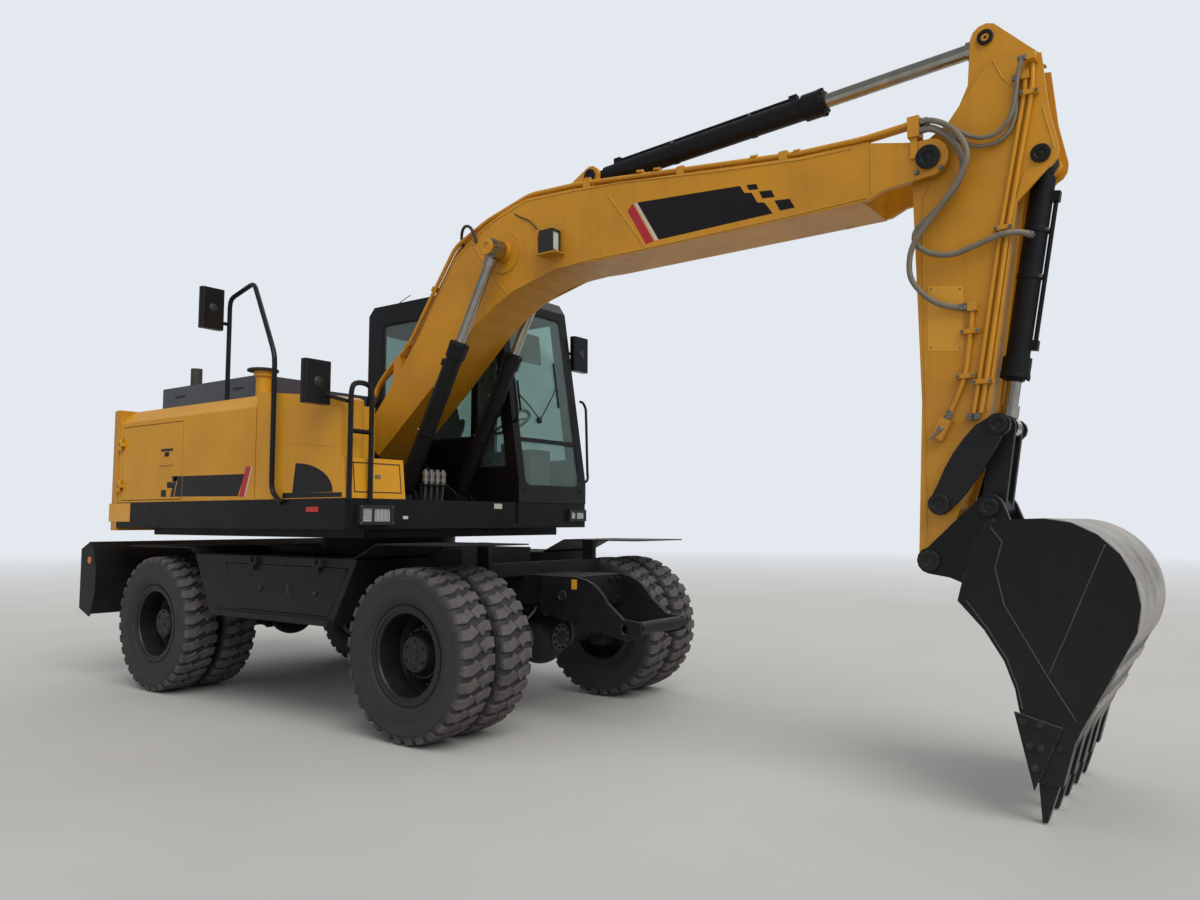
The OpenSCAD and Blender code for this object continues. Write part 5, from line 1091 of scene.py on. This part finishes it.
for label, hose in hoseRoutes.items():
    first, last = hose["bodies"]
    routes = hose["routes"]
    if label == "foot_hoses":
        routes = [[(x, y * side, z) for x, y, z in reversed(route)] for route in routes for side, _ in sides]
    name = label.replace("_h", "H")
    piece = addTubes(name + "Cover", routes, hose["diameter"], dustyHose, None, sides=14, step=12)
    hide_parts(label)
    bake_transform(piece)
    # Crimped ferrule with its nut on each end
    r = hose["diameter"] / 2
    for body, index, step, place in ((first, 0, 1, "Start"), (last, -1, -1, "End")):
        ferrules = []
        for route in routes:
            foot = Vector(route[index])
            way = (Vector(route[index + step]) - foot).normalized()
            ferrules.append((addTurned, tuple(foot + way * 1.0), way, [
                (r + 5, 0), (r + 5, 13), (r + 0.6, 14), (r + 0.6, 13.5)], 6))
            ferrules.append((addTurned, tuple(foot + way * 14.5), way, [
                (r + 0.4, 0), (r + 3.2, 1), (r + 3.2, 7), (r + 2.2, 8), (r + 3.2, 9), (r + 3.2, 16),
                (r + 2.2, 17), (r + 3.2, 18), (r + 3.2, 25), (r + 0.4, 26)], 24, True))
        makePiece(name + place + "Ferrules", zinc, body, ferrules)
print("arm and hoses")

# Bucket: welds, the bolts of its side cutters, heel strips and the pins that lock its teeth
bucketSeams = [[(4614, 1259), (4658, 1197), (4625, 1082), (4658, 921), (4821, 629), (4925, 455)],
               [(5060, 1190), (4980, 1000), (4905, 815), (4829, 638)],
               [(4500, 930), (4584, 815), (4662, 688), (4702, 570), (4718, 480)]]
cutterBolts = [(4722, 430), (4790, 424), (4748, 330), (4790, 330), (4765, 240)]
for side, label in sides:
    addWelds("bucketWelds" + label, [onFace(["bucket"], seam, side, 0.5) for seam in bucketSeams], 9, paintedHighlightWeldBlack,
             "bucket_body")
    addBolts("bucketCutterBolts" + label, [
        (point, (0, side, 0), 26) for point in onFace(["bucket"], cutterBolts, side)], "bucket_body", linkBlack)

# Back of the shell: rolled round smoothly, with two heel strips near the cutting edge
shell = {"centre": (4825, 945), "outer": 357.6, "inner": 350, "from": 90, "to": -36, "steps": 56,
         "halfWidth": 534.6}
outer, inner = [], []
for i in range(shell["steps"] + 1):
    a = math.radians(shell["from"] + (shell["to"] - shell["from"]) * i / shell["steps"])
    for arc, radius in ((outer, shell["outer"]), (inner, shell["inner"])):
        arc.append((shell["centre"][0] + radius * math.cos(a), shell["centre"][1] + radius * math.sin(a)))
bm = bmesh.new()
left, right = [[bm.verts.new(at(x, y, z)) for x, z in outer + inner[::-1]]
               for y in (-shell["halfWidth"], shell["halfWidth"])]
for (a, b), (c, d) in zip(ringEdges(left), ringEdges(right)):
    bm.faces.new((a, b, d, c))
for row, turn in ((left, False), (right, True)):
    for i in range(shell["steps"]):
        quad = (row[i], row[i + 1], row[-2 - i], row[-1 - i])
        bm.faces.new(quad if turn else quad[::-1])
finishPiece("bucketShell", bm, shellSteel, "bucket_body", slot="gear_black", sharpAngle=40)
bucket = nodes["bucket"]
into = bucket.matrix_world.inverted()
forwards = (into.to_3x3() @ Vector((-1, 0, 0))).normalized()
strips = []
for heights in ((668, 612), (520, 466)):
    hits = [(z, bucket.matrix_world @ bucket.ray_cast(into @ at(5600, 60, z), forwards)[1]) for z in heights]
    top, foot = [Vector(((spot.x + slewX) * 1000, z)) for z, spot in hits]
    along = (foot - top).normalized()
    out = Vector((-along.y, along.x))
    strips.append((addPlate, [tuple(end + out * lift) for end, lift in (
        (top, -2), (foot, -2), (foot, 8), (top, 8))], -520, 520))
makePiece("bucketHeelStrips", shellSteel, "bucket_body", strips, slot="gear_black", bevel=2)

# Pins that lock the teeth on their sockets
makePiece("toothPins", linkBlack, "bucket_body", [
    (addTurned, (4860, -490 + i * 245 + side * 44, 330), (0, side, 0), [
        (15, 0), (15, 5), (12, 7), (5, 7), (4, 5), (0, 5)], 16) for i in range(5) for side, _ in sides])
print("bucket")

# Upper structure: livery, latches, reflectors and seams on both sides
sideBand = {
    "Black": [[(-1199, 1521), (-1126, 1520), (-1124, 1468), (-1196, 1468)],
              [(-1116, 1580), (-1031, 1578), (-1028, 1533), (-1113, 1534)],
              [(-1047, 1623), (-963, 1621), (-960, 1585), (-1044, 1586)],
              [(-1064, 1467), (-1018, 1467), (-972, 1620), (-1006, 1620)],
              [(-1006, 1467), (-905, 1467), (-905, 1619), (-958, 1620)],
              [(-899, 1467), (-172, 1458), (-98, 1611), (-899, 1619)]],
    "Red": [[(-160, 1454), (-98, 1454), (-24, 1663), (-84, 1663)]],
    "White": [[(-94, 1454), (-82, 1454), (-8, 1663), (-20, 1663)]]}
panels = {"Right": ["house", "house_door_right"], "Left": ["house", "house_door_left"]}
doorEdge = -903
for side, label in sides:
    for tone, film in films.items():
        for part, body in (("Door", "side_door_" + label.lower()), ("House", "upper")):
            outlines = [o for o in sideBand[tone] if (max(x for x, _ in o) < doorEdge) == (part == "Door")]
            if outlines:
                addDecals(f"sideBand{part}{tone}{label}", outlines, panels[label], side, film, body, "body_yellow")
    addDecals("tailPlate" + label, [rectangle((-1985, 1425), (-1646, 1280))], ["counterweight", "platform"], side,
              filmYellow, "upper", "cast_yellow", lift=1.0)
    addDecals("sideReflector" + label, [rectangle((612, 1377), (737, 1345))], ["platform"], side, reflectorRed,
              "upper", "frame_black", lift=3.0)

# Quarter-round field and foot strip on the right front panel
quarter = [(451 + 418 * math.sin(t), 1474 + 192 * math.cos(t)) for t in
           [math.radians(4 + 7.8 * i) for i in range(12)]]
quarter = [(451, 1470), *quarter, (870, 1470)]
addDecals("frontPanelField", [quarter, [(346, 1472), (960, 1466), (960, 1437), (346, 1437)]], ["tank_locker"], -1,
          filmBlack, "upper", "body_yellow")

# Each side door's latch with its sunk cup, turn handle and key cover, its lip, and the rubber seal in its gap
for side, label in sides:
    y = faceAt(panels[label], -1130, 1790, side)
    body = "side_door_" + label.lower()
    makePiece("doorLatch" + label, mouldedPlastic, body, [
        (addBlock, (-1212, y, 1816), (-1046, y + side * 4, 1834)),
        (addBlock, (-1162, y, 1775), (-1100, y + side * 3, 1808)),
        (addTurned, (-1131, y + side * 2.5, 1791), (0, side, 0), [(11, 0), (11, 9), (8, 12), (0, 12)], 24)],
        bevel=1.2)
    makePiece("doorLip" + label, panelYellow, body, [
        (addBlock, (-1226, y - side, z0), (-1042, y + side * proud, z1))
        for z0, z1, proud in ((1708, 1722, 9), (1702, 1708, 4))], slot="body_yellow", bevel=1.5)
for side, label in sides:
    y = faceAt(panels[label], -1500, 1600, side) - side * 14
    ring = [(x, y, z) for x, z in rectangle((-1796, 1448), (-914, 2050))]
    addTubes("doorSeal" + label, ringEdges(ring), 7, sealRubber, "upper", sides=8, step=60)

# Lips that follow the crease and the rear edge of the right front panel
for name, path in {"panelCreaseHigh": [(279, 1806), (600, 1784), (912, 1757)],
                   "panelEdgeRear": [(352, 1480), (352, 1700), (352, 2000)]}.items():
    addTubes(name, [onFace(["tank_locker"], path, -1, -1.2)], 7, panelYellow, "upper", sides=8, step=40)

# Toolbox: anti-slip studs on its top, and the frame and lock of its lid, which leans back with the front
tread = {"low": (700, -1190), "high": (940, -760), "top": 1690.3, "pitch": 22, "rows": 22, "perRow": 10,
         "stud": [(6, 0), (5, 2.4), (3.4, 2.9), (2.6, 1.6), (0, 1.6)]}
studs = [(addBlock, (*tread["low"], tread["top"]), (*tread["high"], tread["top"] + 1.6))]
for row in range(tread["rows"]):
    x = tread["low"][0] + 12 + (row % 2) * tread["pitch"] / 2
    y = tread["low"][1] + 12 + row * tread["pitch"] * 0.87
    studs += [(addTurned, (x + i * tread["pitch"], y, tread["top"] + 1.2), (0, 0, 1), tread["stud"], 8)
              for i in range(tread["perRow"])]
makePiece("toolboxTread", sealRubber, "upper", studs, clean=False)
lidFrame = []
for y0, y1, z0, z1 in ((-1158, -1152, 1468, 1660), (-778, -772, 1468, 1660), (-1158, -772, 1654, 1660),
                       (-1158, -772, 1468, 1474)):
    x0, x1 = [1000 - 30 * (z - 1430) / 260 for z in (z0, z1)]
    lidFrame.append((addPlate, [(x0 - 1, z0), (x1 - 1, z1), (x1 + 2.2, z1), (x0 + 2.2, z0)], y0, y1))
makePiece("toolboxLidFrame", sealRubber, "upper", lidFrame)
makePiece("toolboxLock", zinc, "upper", [
    (addPlate, [(978, 1560), (990, 1560), (988, 1584), (976, 1584)], -985, -945)], bevel=1.5)

# Head lamps: a wide lens with bars across it beside a narrower one with bars down it, and the bezel's screws
headLamps = {"face": 1030.3, "Right": (-1138, -862, 1262, 1388), "Left": (990, 1210, 1285, 1380), "across": 7,
             "down": 12}
face = headLamps["face"]
for _, label in sides:
    right, left, foot, top = headLamps[label]
    split = right + (left - right) * 0.4
    a, b, c, d = right + 25, split - 6, split + 6, left - 25
    levels = [foot + 26 + i * (top - foot - 52) / (headLamps["across"] - 1) for i in range(headLamps["across"])]
    columns = [c + 6 + i * (d - c - 12) / (headLamps["down"] - 1) for i in range(headLamps["down"])]
    makePiece("headLampLens" + label, lampGlass, "upper", [
        (addBlock, (face - 16, y0 + 1, foot + 21), (face - 9, y1 - 1, top - 21)) for y0, y1 in ((a, b), (c, d))],
        bevel=0.4)
    makePiece("headLampBars" + label, lensClear, "upper", [
        (addBlock, (face - 9.5, a + 2, z - 2.6), (face - 7.6, b - 2, z + 2.6)) for z in levels] + [
        (addBlock, (face - 9.5, y - 2.4, foot + 22), (face - 7.8, y + 2.4, top - 22)) for y in columns])
    addBolts("headLampScrews" + label, [((face - 0.4, y, z), (1, 0, 0), 11) for y in (right + 11, left - 11)
                                        for z in (foot + 11, top - 11)], "upper")

# Handles of the engine cover
makePiece("hoodHandles", mouldedPlastic, "hood", [
    (addBlock, (x + x0, -872 + y0, 2300), (x + x1, -872 + y1, 2316)) for x in (-1600, -760)
    for x0, x1, y0, y1 in ((-70, 70, -14, -5), (-70, -56, -5.5, 4), (56, 70, -5.5, 4))], bevel=3)

# Lid of the air intake, a wide black pressing
makePiece("intakeLid", mouldedPlastic, "upper", [
    (addTurned, (-410, -900, 2396), (0, 0, 1), [(96, 0), (112, 3), (114, 16), (106, 22), (40, 26), (0, 27)], 48)])

# Apron between the front skirts, with two blank plates and a bank of four couplings beside the cylinder
apron = {"face": 990, "right": -430.5, "left": 384.5, "foot": 1236, "top": 1429}
front, right, left, foot, top = apron.values()
makePiece("frontApron", frameBlack, "upper", [
    (addBlock, (front - 8, right, foot), (front, left, top)),
    (addBlock, (front - 40, right, top - 6), (front - 7, left, top)),
    (addBlock, (955, -575, top - 4), (967, -362, 1541)),
    (addBlock, (967, -575, 1529), (999, -362, 1541))], slot="frame_black", bevel=2)
makePiece("blankPlates", filmWhite, "upper", [
    (addBlock, (front - 0.3, 132, 1378), (front + 1, 218, 1416)),
    (addBlock, (999.7, -758, 1300), (1001, -715, 1320))])
bank = [-548 + i * 54 for i in range(4)]
makePiece("couplings", zinc, "upper", [(addTurned, (983, y, 1541), (0, 0, 1), [
    (15, 0), (15, 12), (22, 14), (22, 36), (19, 38), (19, 52), (22, 54), (22, 80), (13, 88), (13, 98), (9, 100),
    (0, 100)], 24) for y in bank])
addTubes("couplingHoses", [[(x, y, z) for x, z in (
    (983, 1530), (981, 1480), (972, 1430), (950, 1370), (930, 1300), (925, 1268))] for y in bank], 17, blackHose,
         "upper")
print("upper structure")


# Cushion with a crowned top: a rounded block whose faces swell towards the middle
crown = {"layers": 24, "sides": 48, "flatten": 0.45, "swell": 0.8, "squareness": 0.34}


def addCushion(bm, centre, half, lean):
    turn = Matrix.Rotation(math.radians(lean), 4, "Y")
    rings = []
    for i in range(1, crown["layers"]):
        phi = math.pi * (i / crown["layers"] - 0.5)
        flat = abs(math.cos(phi)) ** crown["flatten"]
        rise = math.copysign(abs(math.sin(phi)) ** crown["swell"], math.sin(phi))
        ring = []
        for k in range(crown["sides"]):
            theta = 2 * math.pi * k / crown["sides"]
            x, y = [math.copysign(abs(share) ** crown["squareness"], share)
                    for share in (math.cos(theta), math.sin(theta))]
            spot = Vector((half[0] * flat * x, half[1] * flat * y, half[2] * rise))
            ring.append(bm.verts.new(at(*(turn @ spot + Vector(centre)))))
        rings.append(ring)
    for low, high in zip(rings, rings[1:]):
        for (a, b), (c, d) in zip(ringEdges(low), ringEdges(high)):
            bm.faces.new((a, b, d, c))
    bm.faces.new(rings[0][::-1])
    bm.faces.new(rings[-1])


# A piece of the cab's inside
def furnish(name, material, shapes, **options):
    return makePiece(name, material, "upper", shapes, slot="seat_fabric", **options)


# Operator's seat with its cushions, bellows, consoles and levers. A cushion has its middle, half its sizes,
# its lean and how far its padding fills it.
cushions = {"seatCushion": ((-10, 785, 1800), (225, 225, 72), -4, 0.7),
            "backCushion": ((-268, 785, 2120), (62, 215, 290), -10, 0.6),
            "headRest": ((-335, 785, 2470), (48, 130, 74), -10, 0.6)}
for name, (centre, half, lean, filling) in cushions.items():
    cushion = furnish(name, seatCloth, [(addCushion, centre, half, lean)], sharpAngle=60)
    if name == "seatCushion":
        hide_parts("cab_seat")
bellows = [(addBlock, (-190 + dent, 620 + dent, z), (136 - dent, 950 - dent, z + 17))
           for z, dent in zip(range(1600, 1696, 16), (0, 10) * 3)]
furnish("seatFrame", mouldedPlastic, [
    (addBlock, (-235, 590, 1476.5), (180, 980, 1560)), (addBlock, (-205, 610, 1560), (150, 960, 1600)), *bellows,
    (addBlock, (-225, 570, 1697), (195, 1000, 1738)),
    (addPlate, [(-330, 1760), (-300, 1760), (-378, 2560), (-408, 2560)], 690, 880)], bevel=6)
consoles, levers = [], []
for y in (475, 1065):
    consoles += [(addPlate, [(-220, 1740), (250, 1740), (330, 1800), (330, 1850), (230, 1888), (-120, 1900),
                             (-220, 1880)], y - 48, y + 48),
                 (addBlock, (-160, y - 40, 1480), (120, y + 40, 1745))]
    levers += [(roundBar, (270, y, 1868), (296, y, 2010), 22, 16, 4),
               (addTurned, (296, y, 2008), (0.18, 0, 1), [
                   (15, 0), (21, 12), (24, 60), (22, 96), (14, 112), (0, 115)], 20),
               (addTurned, (266, y, 1860), (0.1, 0, 1), [
                   (38, 0), (30, 12), (34, 18), (24, 30), (27, 36), (13, 52), (0, 52)], 24)]
furnish("seatConsoles", mouldedPlastic, consoles, bevel=8)
furnish("controlLevers", sealRubber, levers)

# Steering column, wheel, pedals and the low cabinet before the windscreen
furnish("steeringColumn", mouldedPlastic, [
    (addPlate, [(575, 1477), (655, 1477), (640, 1800), (590, 2060), (540, 2050), (560, 1800)], 722, 798)], bevel=8)
wheel = {"centre": (545, 760, 2105), "axis": (-0.45, 0, 0.9), "radius": 190, "grip": 14, "spokes": (90, 210, 330)}
middle, sideways = Vector(wheel["centre"]), Vector((0, 1, 0))
across = Vector(wheel["axis"]).normalized().cross(sideways).normalized()
grip = [(wheel["radius"] + wheel["grip"] * math.cos(math.radians(30 * i)),
         wheel["grip"] * math.sin(math.radians(30 * i))) for i in range(12)]
spokes = [math.cos(math.radians(turn)) * sideways + math.sin(math.radians(turn)) * across
          for turn in wheel["spokes"]]
furnish("steeringWheel", sealRubber, [
    (addTurned, wheel["centre"], wheel["axis"], grip, 64, True),
    (addTurned, wheel["centre"], wheel["axis"], [(44, -18), (48, -6), (40, 8), (0, 10)], 32)] + [
    (roundBar, tuple(middle + way * 38), tuple(middle + way * 182), 20, 10, 2) for way in spokes])
furnish("frontCabinet", paleTrim, [(addBlock, (690, 668, 1477), (880, 918, 1860))], bevel=14)
furnish("pedals", sealRubber, [shape for y in (560, 640, 960) for shape in (
    (addPlate, [(700, 1500), (712, 1494), (800, 1600), (790, 1608)], y - 34, y + 34),
    (roundBar, (742, y, 1548), (790, y, 1480), 16, 10, 2))], bevel=2)
furnish("sunVisor", paleTrim, [
    (addPlate, [(690, 2600), (700, 2596), (668, 2850), (656, 2850)], 470, 1010)], bevel=3)
furnish("displayStand", mouldedPlastic, [
    (addPlate, [(742, 1995), (764, 2000), (734, 2185), (712, 2180)], 486, 640),
    (roundBar, (735, 560, 2000), (760, 560, 1895), 24, 12, 2),
    (addBlock, (700, 520, 1477), (800, 600, 1900))], bevel=5)


# Front face of the cab: upright up to its bend, and leaning back above it
cabFront = {"x": 1010, "bend": 1600, "lean": 0.15753}


def cabFace(z):
    return cabFront["x"] - cabFront["lean"] * max(z - cabFront["bend"], 0)


# The pane lies 15 mm behind that face. A corner has its y and z, the radius of its rounding and a first angle
pane = {"right": 462, "left": 1148, "middle": 800, "foot": 1562, "top": 2988, "bar": 1923, "low": 60, "high": 40}
corners = [(pane["left"], pane["foot"], pane["low"], 270), (pane["left"], pane["top"], pane["high"], 0),
           (pane["right"], pane["top"], pane["high"], 90), (pane["right"], pane["foot"], pane["low"], 180)]
edge = []
for y0, z0, r, turn in corners:
    cy, cz = y0 - math.copysign(r, y0 - pane["middle"]), z0 + (r if z0 == pane["foot"] else -r)
    for i in range(7):
        a = math.radians(turn + 15 * i)
        y, z = cy + r * math.cos(a), cz + r * math.sin(a)
        edge.append((cabFace(z) - 9, y, z))
addTubes("windscreenSeal", [edge + edge[:1]], 13, sealRubber, "upper", sides=8, step=20)
bm = bmesh.new()
for y0, z0, r, _ in (corners[3], corners[0], corners[2], corners[1]):
    sy, sz = math.copysign(1, pane["middle"] - y0), 1 if z0 == pane["foot"] else -1
    turns = [math.radians(15 * i) for i in range(7)]
    outline = [(y0, z0)] + [(y0 + sy * (r - r * math.cos(a)), z0 + sz * (r - r * math.sin(a))) for a in turns]
    back, front = [[bm.verts.new(at(cabFace(z) - depth, y, z)) for y, z in outline] for depth in (13, 3)]
    bm.faces.new(back)
    bm.faces.new(front[::-1])
    for (a, b), (c, d) in zip(ringEdges(back), ringEdges(front)):
        bm.faces.new((a, b, d, c))
finishPiece("windscreenCorners", bm, cabBlack, "upper", slot="cab_black")


# Outline of a strip on the windscreen, from one height to another and from behind the face to before it
def paneStrip(z0, z1, behind, proud):
    x0, x1 = cabFace(z0), cabFace(z1)
    return [(x0 - behind, z0), (x0 + proud, z0), (x1 + proud, z1), (x1 - behind, z1)]


makePiece("windscreenBar", cabBlack, "upper", [
    (addPlate, paneStrip(pane["bar"] - 17, pane["bar"] + 17, 14.6, -1), pane["right"] + 3, pane["left"] - 3)],
    slot="cab_black", bevel=2)

# Wiper: motor cap, two arms in a V and their blades. A blade has its middle and half its length
wiper = {"motor": (713, 2093), "blades": ((993, 2410, 190), (505, 2275, 120))}
y0, z0 = wiper["motor"]
addTubes("wiperArms", [[(cabFace(z0) + 6, y0, z0), (cabFace((z0 + z) / 2) + 14, (y0 + y) / 2, (z0 + z) / 2),
                        (cabFace(z) + 2, y, z)] for y, z, _ in wiper["blades"]], 11, mouldedPlastic, "upper",
         sides=8, step=30)
makePiece("wiperBlades", sealRubber, "upper", [
    (addPlate, paneStrip(z - reach, z + reach, 14.5, 1), y - 4, y + 4) for y, z, reach in wiper["blades"]] + [
    (addTurned, (cabFace(z0) - 2, y0, z0), (1, 0, 0.157), [(26, -8), (26, 10), (20, 16), (0, 16)], 24)])

# Seals round the side panes, door handle, hand bars, roof lamp, aerial and mirrors
sidePanes = {"RightRear": (400, rectangle((-585, 1950), (500, 3000))),
             "RightFront": (400, [(560, 1700), (880, 1700), (700, 3000), (560, 3000)]),
             "LeftRear": (1210, rectangle((-655, 1950), (-160, 3000)))}
for name, (y, ring) in sidePanes.items():
    middle = Vector((sum(x for x, _ in ring) / 4, sum(z for _, z in ring) / 4))
    inner = [Vector(p) + (middle - Vector(p)).normalized() * 9 for p in ring]
    face = y + math.copysign(7, y - pane["middle"])
    addTubes("paneSeal" + name, ringEdges([(x, face, z) for x, z in inner]), 12, sealRubber, "upper", sides=8,
             step=60)
makePiece("cabDoorHandle", mouldedPlastic, "operator_door", [
    (addBlock, (800, 1225, 1690), (872, 1231, 1735)), (addBlock, (812, 1231, 1700), (862, 1252, 1724))], bevel=4)
addTubes("cabHandBars", [[(985, 1226, 1612), (988, 1262, 1618), (984, 1290, 1650), (975, 1296, 1720),
                          (960, 1296, 2180), (955, 1290, 2250), (952, 1262, 2288), (950, 1226, 2294)],
                         [(876, 415, 2452), (902, 408, 2446), (930, 403, 2405), (958, 402, 2250), (974, 402, 2115),
                          (962, 408, 2070), (940, 414, 2056)]], 22, cabBlack, "upper", sides=14, step=14)
makePiece("roofLampLens", lensClear, "upper", [(addBlock, (650, 1064, 3178), (652.6, 1116, 3244))], bevel=1)
addTubes("aerial", [[(-520, 480, 3171), (-505, 480, 3195), (-430, 480, 3225), (-350, 480, 3252)]], 7,
         mouldedPlastic, "upper", sides=8, step=20)

# Mirrors: middle, half the width and half the height of each pane, and the boss on its back
mirrors = ((-560, -1240, 2835, 74, 134), (840, -1350, 2155, 84, 121.5), (842, 1350, 2724, 84, 134))
makePiece("mirrorPanes", mirrorGlass, "upper", [
    (addBlock, (x - 31.4, y - width, z - height), (x - 29.6, y + width, z + height))
    for x, y, z, width, height in mirrors], bevel=0.6)
makePiece("mirrorBosses", mouldedPlastic, "upper", [
    (addTurned, (x + 29, y, z), (1, 0, 0), [(34, 0), (34, 3), (26, 9), (12, 11), (0, 11)], 28)
    for x, y, z, _, _ in mirrors])
print("cab")

# Undercarriage: latch and knobs of each side box's lid, and the serrated tread along its step
step = {"studs": 61, "pitch": 19.8, "stud": [(6, 0), (5, 3), (3.4, 3.6), (2.6, 2), (0, 2)]}
for side, label in sides:
    box, body = "side_box_door_" + label.lower(), "box_door_" + label.lower()
    y = faceAt(["side_boxes", box], 424, 845, side)
    makePiece("boxLatch" + label, mouldedPlastic, body, [
        (addBlock, (400, y, 806), (450, y + side * 3, 884)),
        (addPlate, [(412, 822), (438, 822), (432, 872), (418, 872)], y + side * 3, y + side * 11)] + [
        (addTurned, (x, y, z), (0, side, 0), [(16, 0), (16, 8), (13, 13), (0, 13)], 20)
        for x, z in ((115, 836), (700, 826))], bevel=1.2)
    foot = faceAt(["side_boxes"], 200, 680, side)
    low, high = sorted((foot - side * 70, foot - side * 2))
    studs = [(addBlock, (-350, low, 689.5), (860, high, 692))]
    studs += [(addTurned, (-344 + i * step["pitch"] + (k % 2) * 9, foot - side * (12 + k * 22), 691.5), (0, 0, 1),
               step["stud"], 8) for i in range(step["studs"]) for k in range(3)]
    makePiece("boxStepTread" + label, zinc, "undercarriage", studs, clean=False)

# Nose: bolts, the rings round its eyes and a blank plate
addBolts("noseBolts", [((2060.3, y, z), (1, 0, 0), 26) for y in (-200, -110, 110, 200) for z in (775, 900)],
         "undercarriage", frameBlack)
makePiece("noseRings", linkBlack, "undercarriage", [(addTurned, (1950, side * 259.8, 812), (0, side, 0), [
    (36, 0), (36, 5), (31, 7), (26, 5), (26, 1), (0, 1)], 36) for side, _ in sides])
addDecals("noseBlankPlate", [rectangle((2025, 918), (2068, 857))], ["chassis_frame"], -1, filmYellow,
          "undercarriage", "cast_yellow")

# Flanges on each axle's tubes and housing, with their bolts
axleZ = tyre["axleZ"]
flanges, heads = [], []
for x in tyre["axles"].values():
    for side, _ in sides:
        flanges.append((addTurned, (x, side * 205, axleZ), (0, side, 0), [
            (118, 0), (118, 26), (112, 30), (94, 30), (94, 0)], 48, True))
        heads += [(point, (0, side, 0), 20) for point in circlePoints((x, side * 234.5, axleZ), 105, 12)]
    for way in (-1, 1):
        flanges.append((addTurned, (x + way * 168, 0, axleZ), (way, 0, 0), [
            (92, 0), (92, 14), (86, 18), (48, 18), (48, 0)], 48, True))
        heads += [((x + way * 185.5, 72 * math.cos(a), axleZ + 72 * math.sin(a)), (way, 0, 0), 17)
                  for a in [math.radians(36 * i) for i in range(10)]]
makePiece("axleFlanges", castGrey, "undercarriage", flanges)
addBolts("axleBolts", heads, "undercarriage", frameBlack)

# Yokes of the shafts, clear of the axles' flanges, and the gearbox's covers
makePiece("shaftYokes", castGrey, "undercarriage", [(addTurned, (x, 0, axleZ), (way, 0, 0), [
    (62, 0), (62, 12), (56, 14), (46, 40), (41, 60), (39.6, 60), (39.6, 0)], 36, True)
    for x, way in ((-1038, 1), (-275, -1), (275, 1), (1338, -1))])
makePiece("gearboxCovers", castGrey, "undercarriage", [
    (addBlock, (-200, side * 190, 430), (200, side * 197, 560)) for side, _ in sides], bevel=3)
addBolts("gearboxBolts", [((x, side * 197, z), (0, side, 0), 16) for side, _ in sides
                          for x in (-180, -60, 60, 180) for z in (445, 545)], "undercarriage", castGrey)

# Brake and steering hoses from the nose to the front axle
addTubes("axleHoses", [[(x, side * y, z) for x, y, z in (
    (1700, 215, 730), (1705, 260, 690), (1690, 330, 640), (1650, 400, 612), (1600, 470, 598), (1560, 520, 590))]
    for side, _ in sides], 16, blackHose, "undercarriage", sides=10)

# Blade: glands of its cylinders, and an amber marker at each end
addGland("bladeRamGland", (-1700, 880), (-2130, 700), (-370, 370), 350, 80, 48.6, "blade_cylinders")
for side, label in sides:
    y = faceAt(["blade"], -2300, 900, side)
    makePiece("bladeMarker" + label, lensAmber, "dozer_blade", [
        (addTurned, (-2300, y, 960), (0, side, 0), [(30, 0), (30, 2.5), (24, 4.5), (0, 5)], 28)])
print("undercarriage")
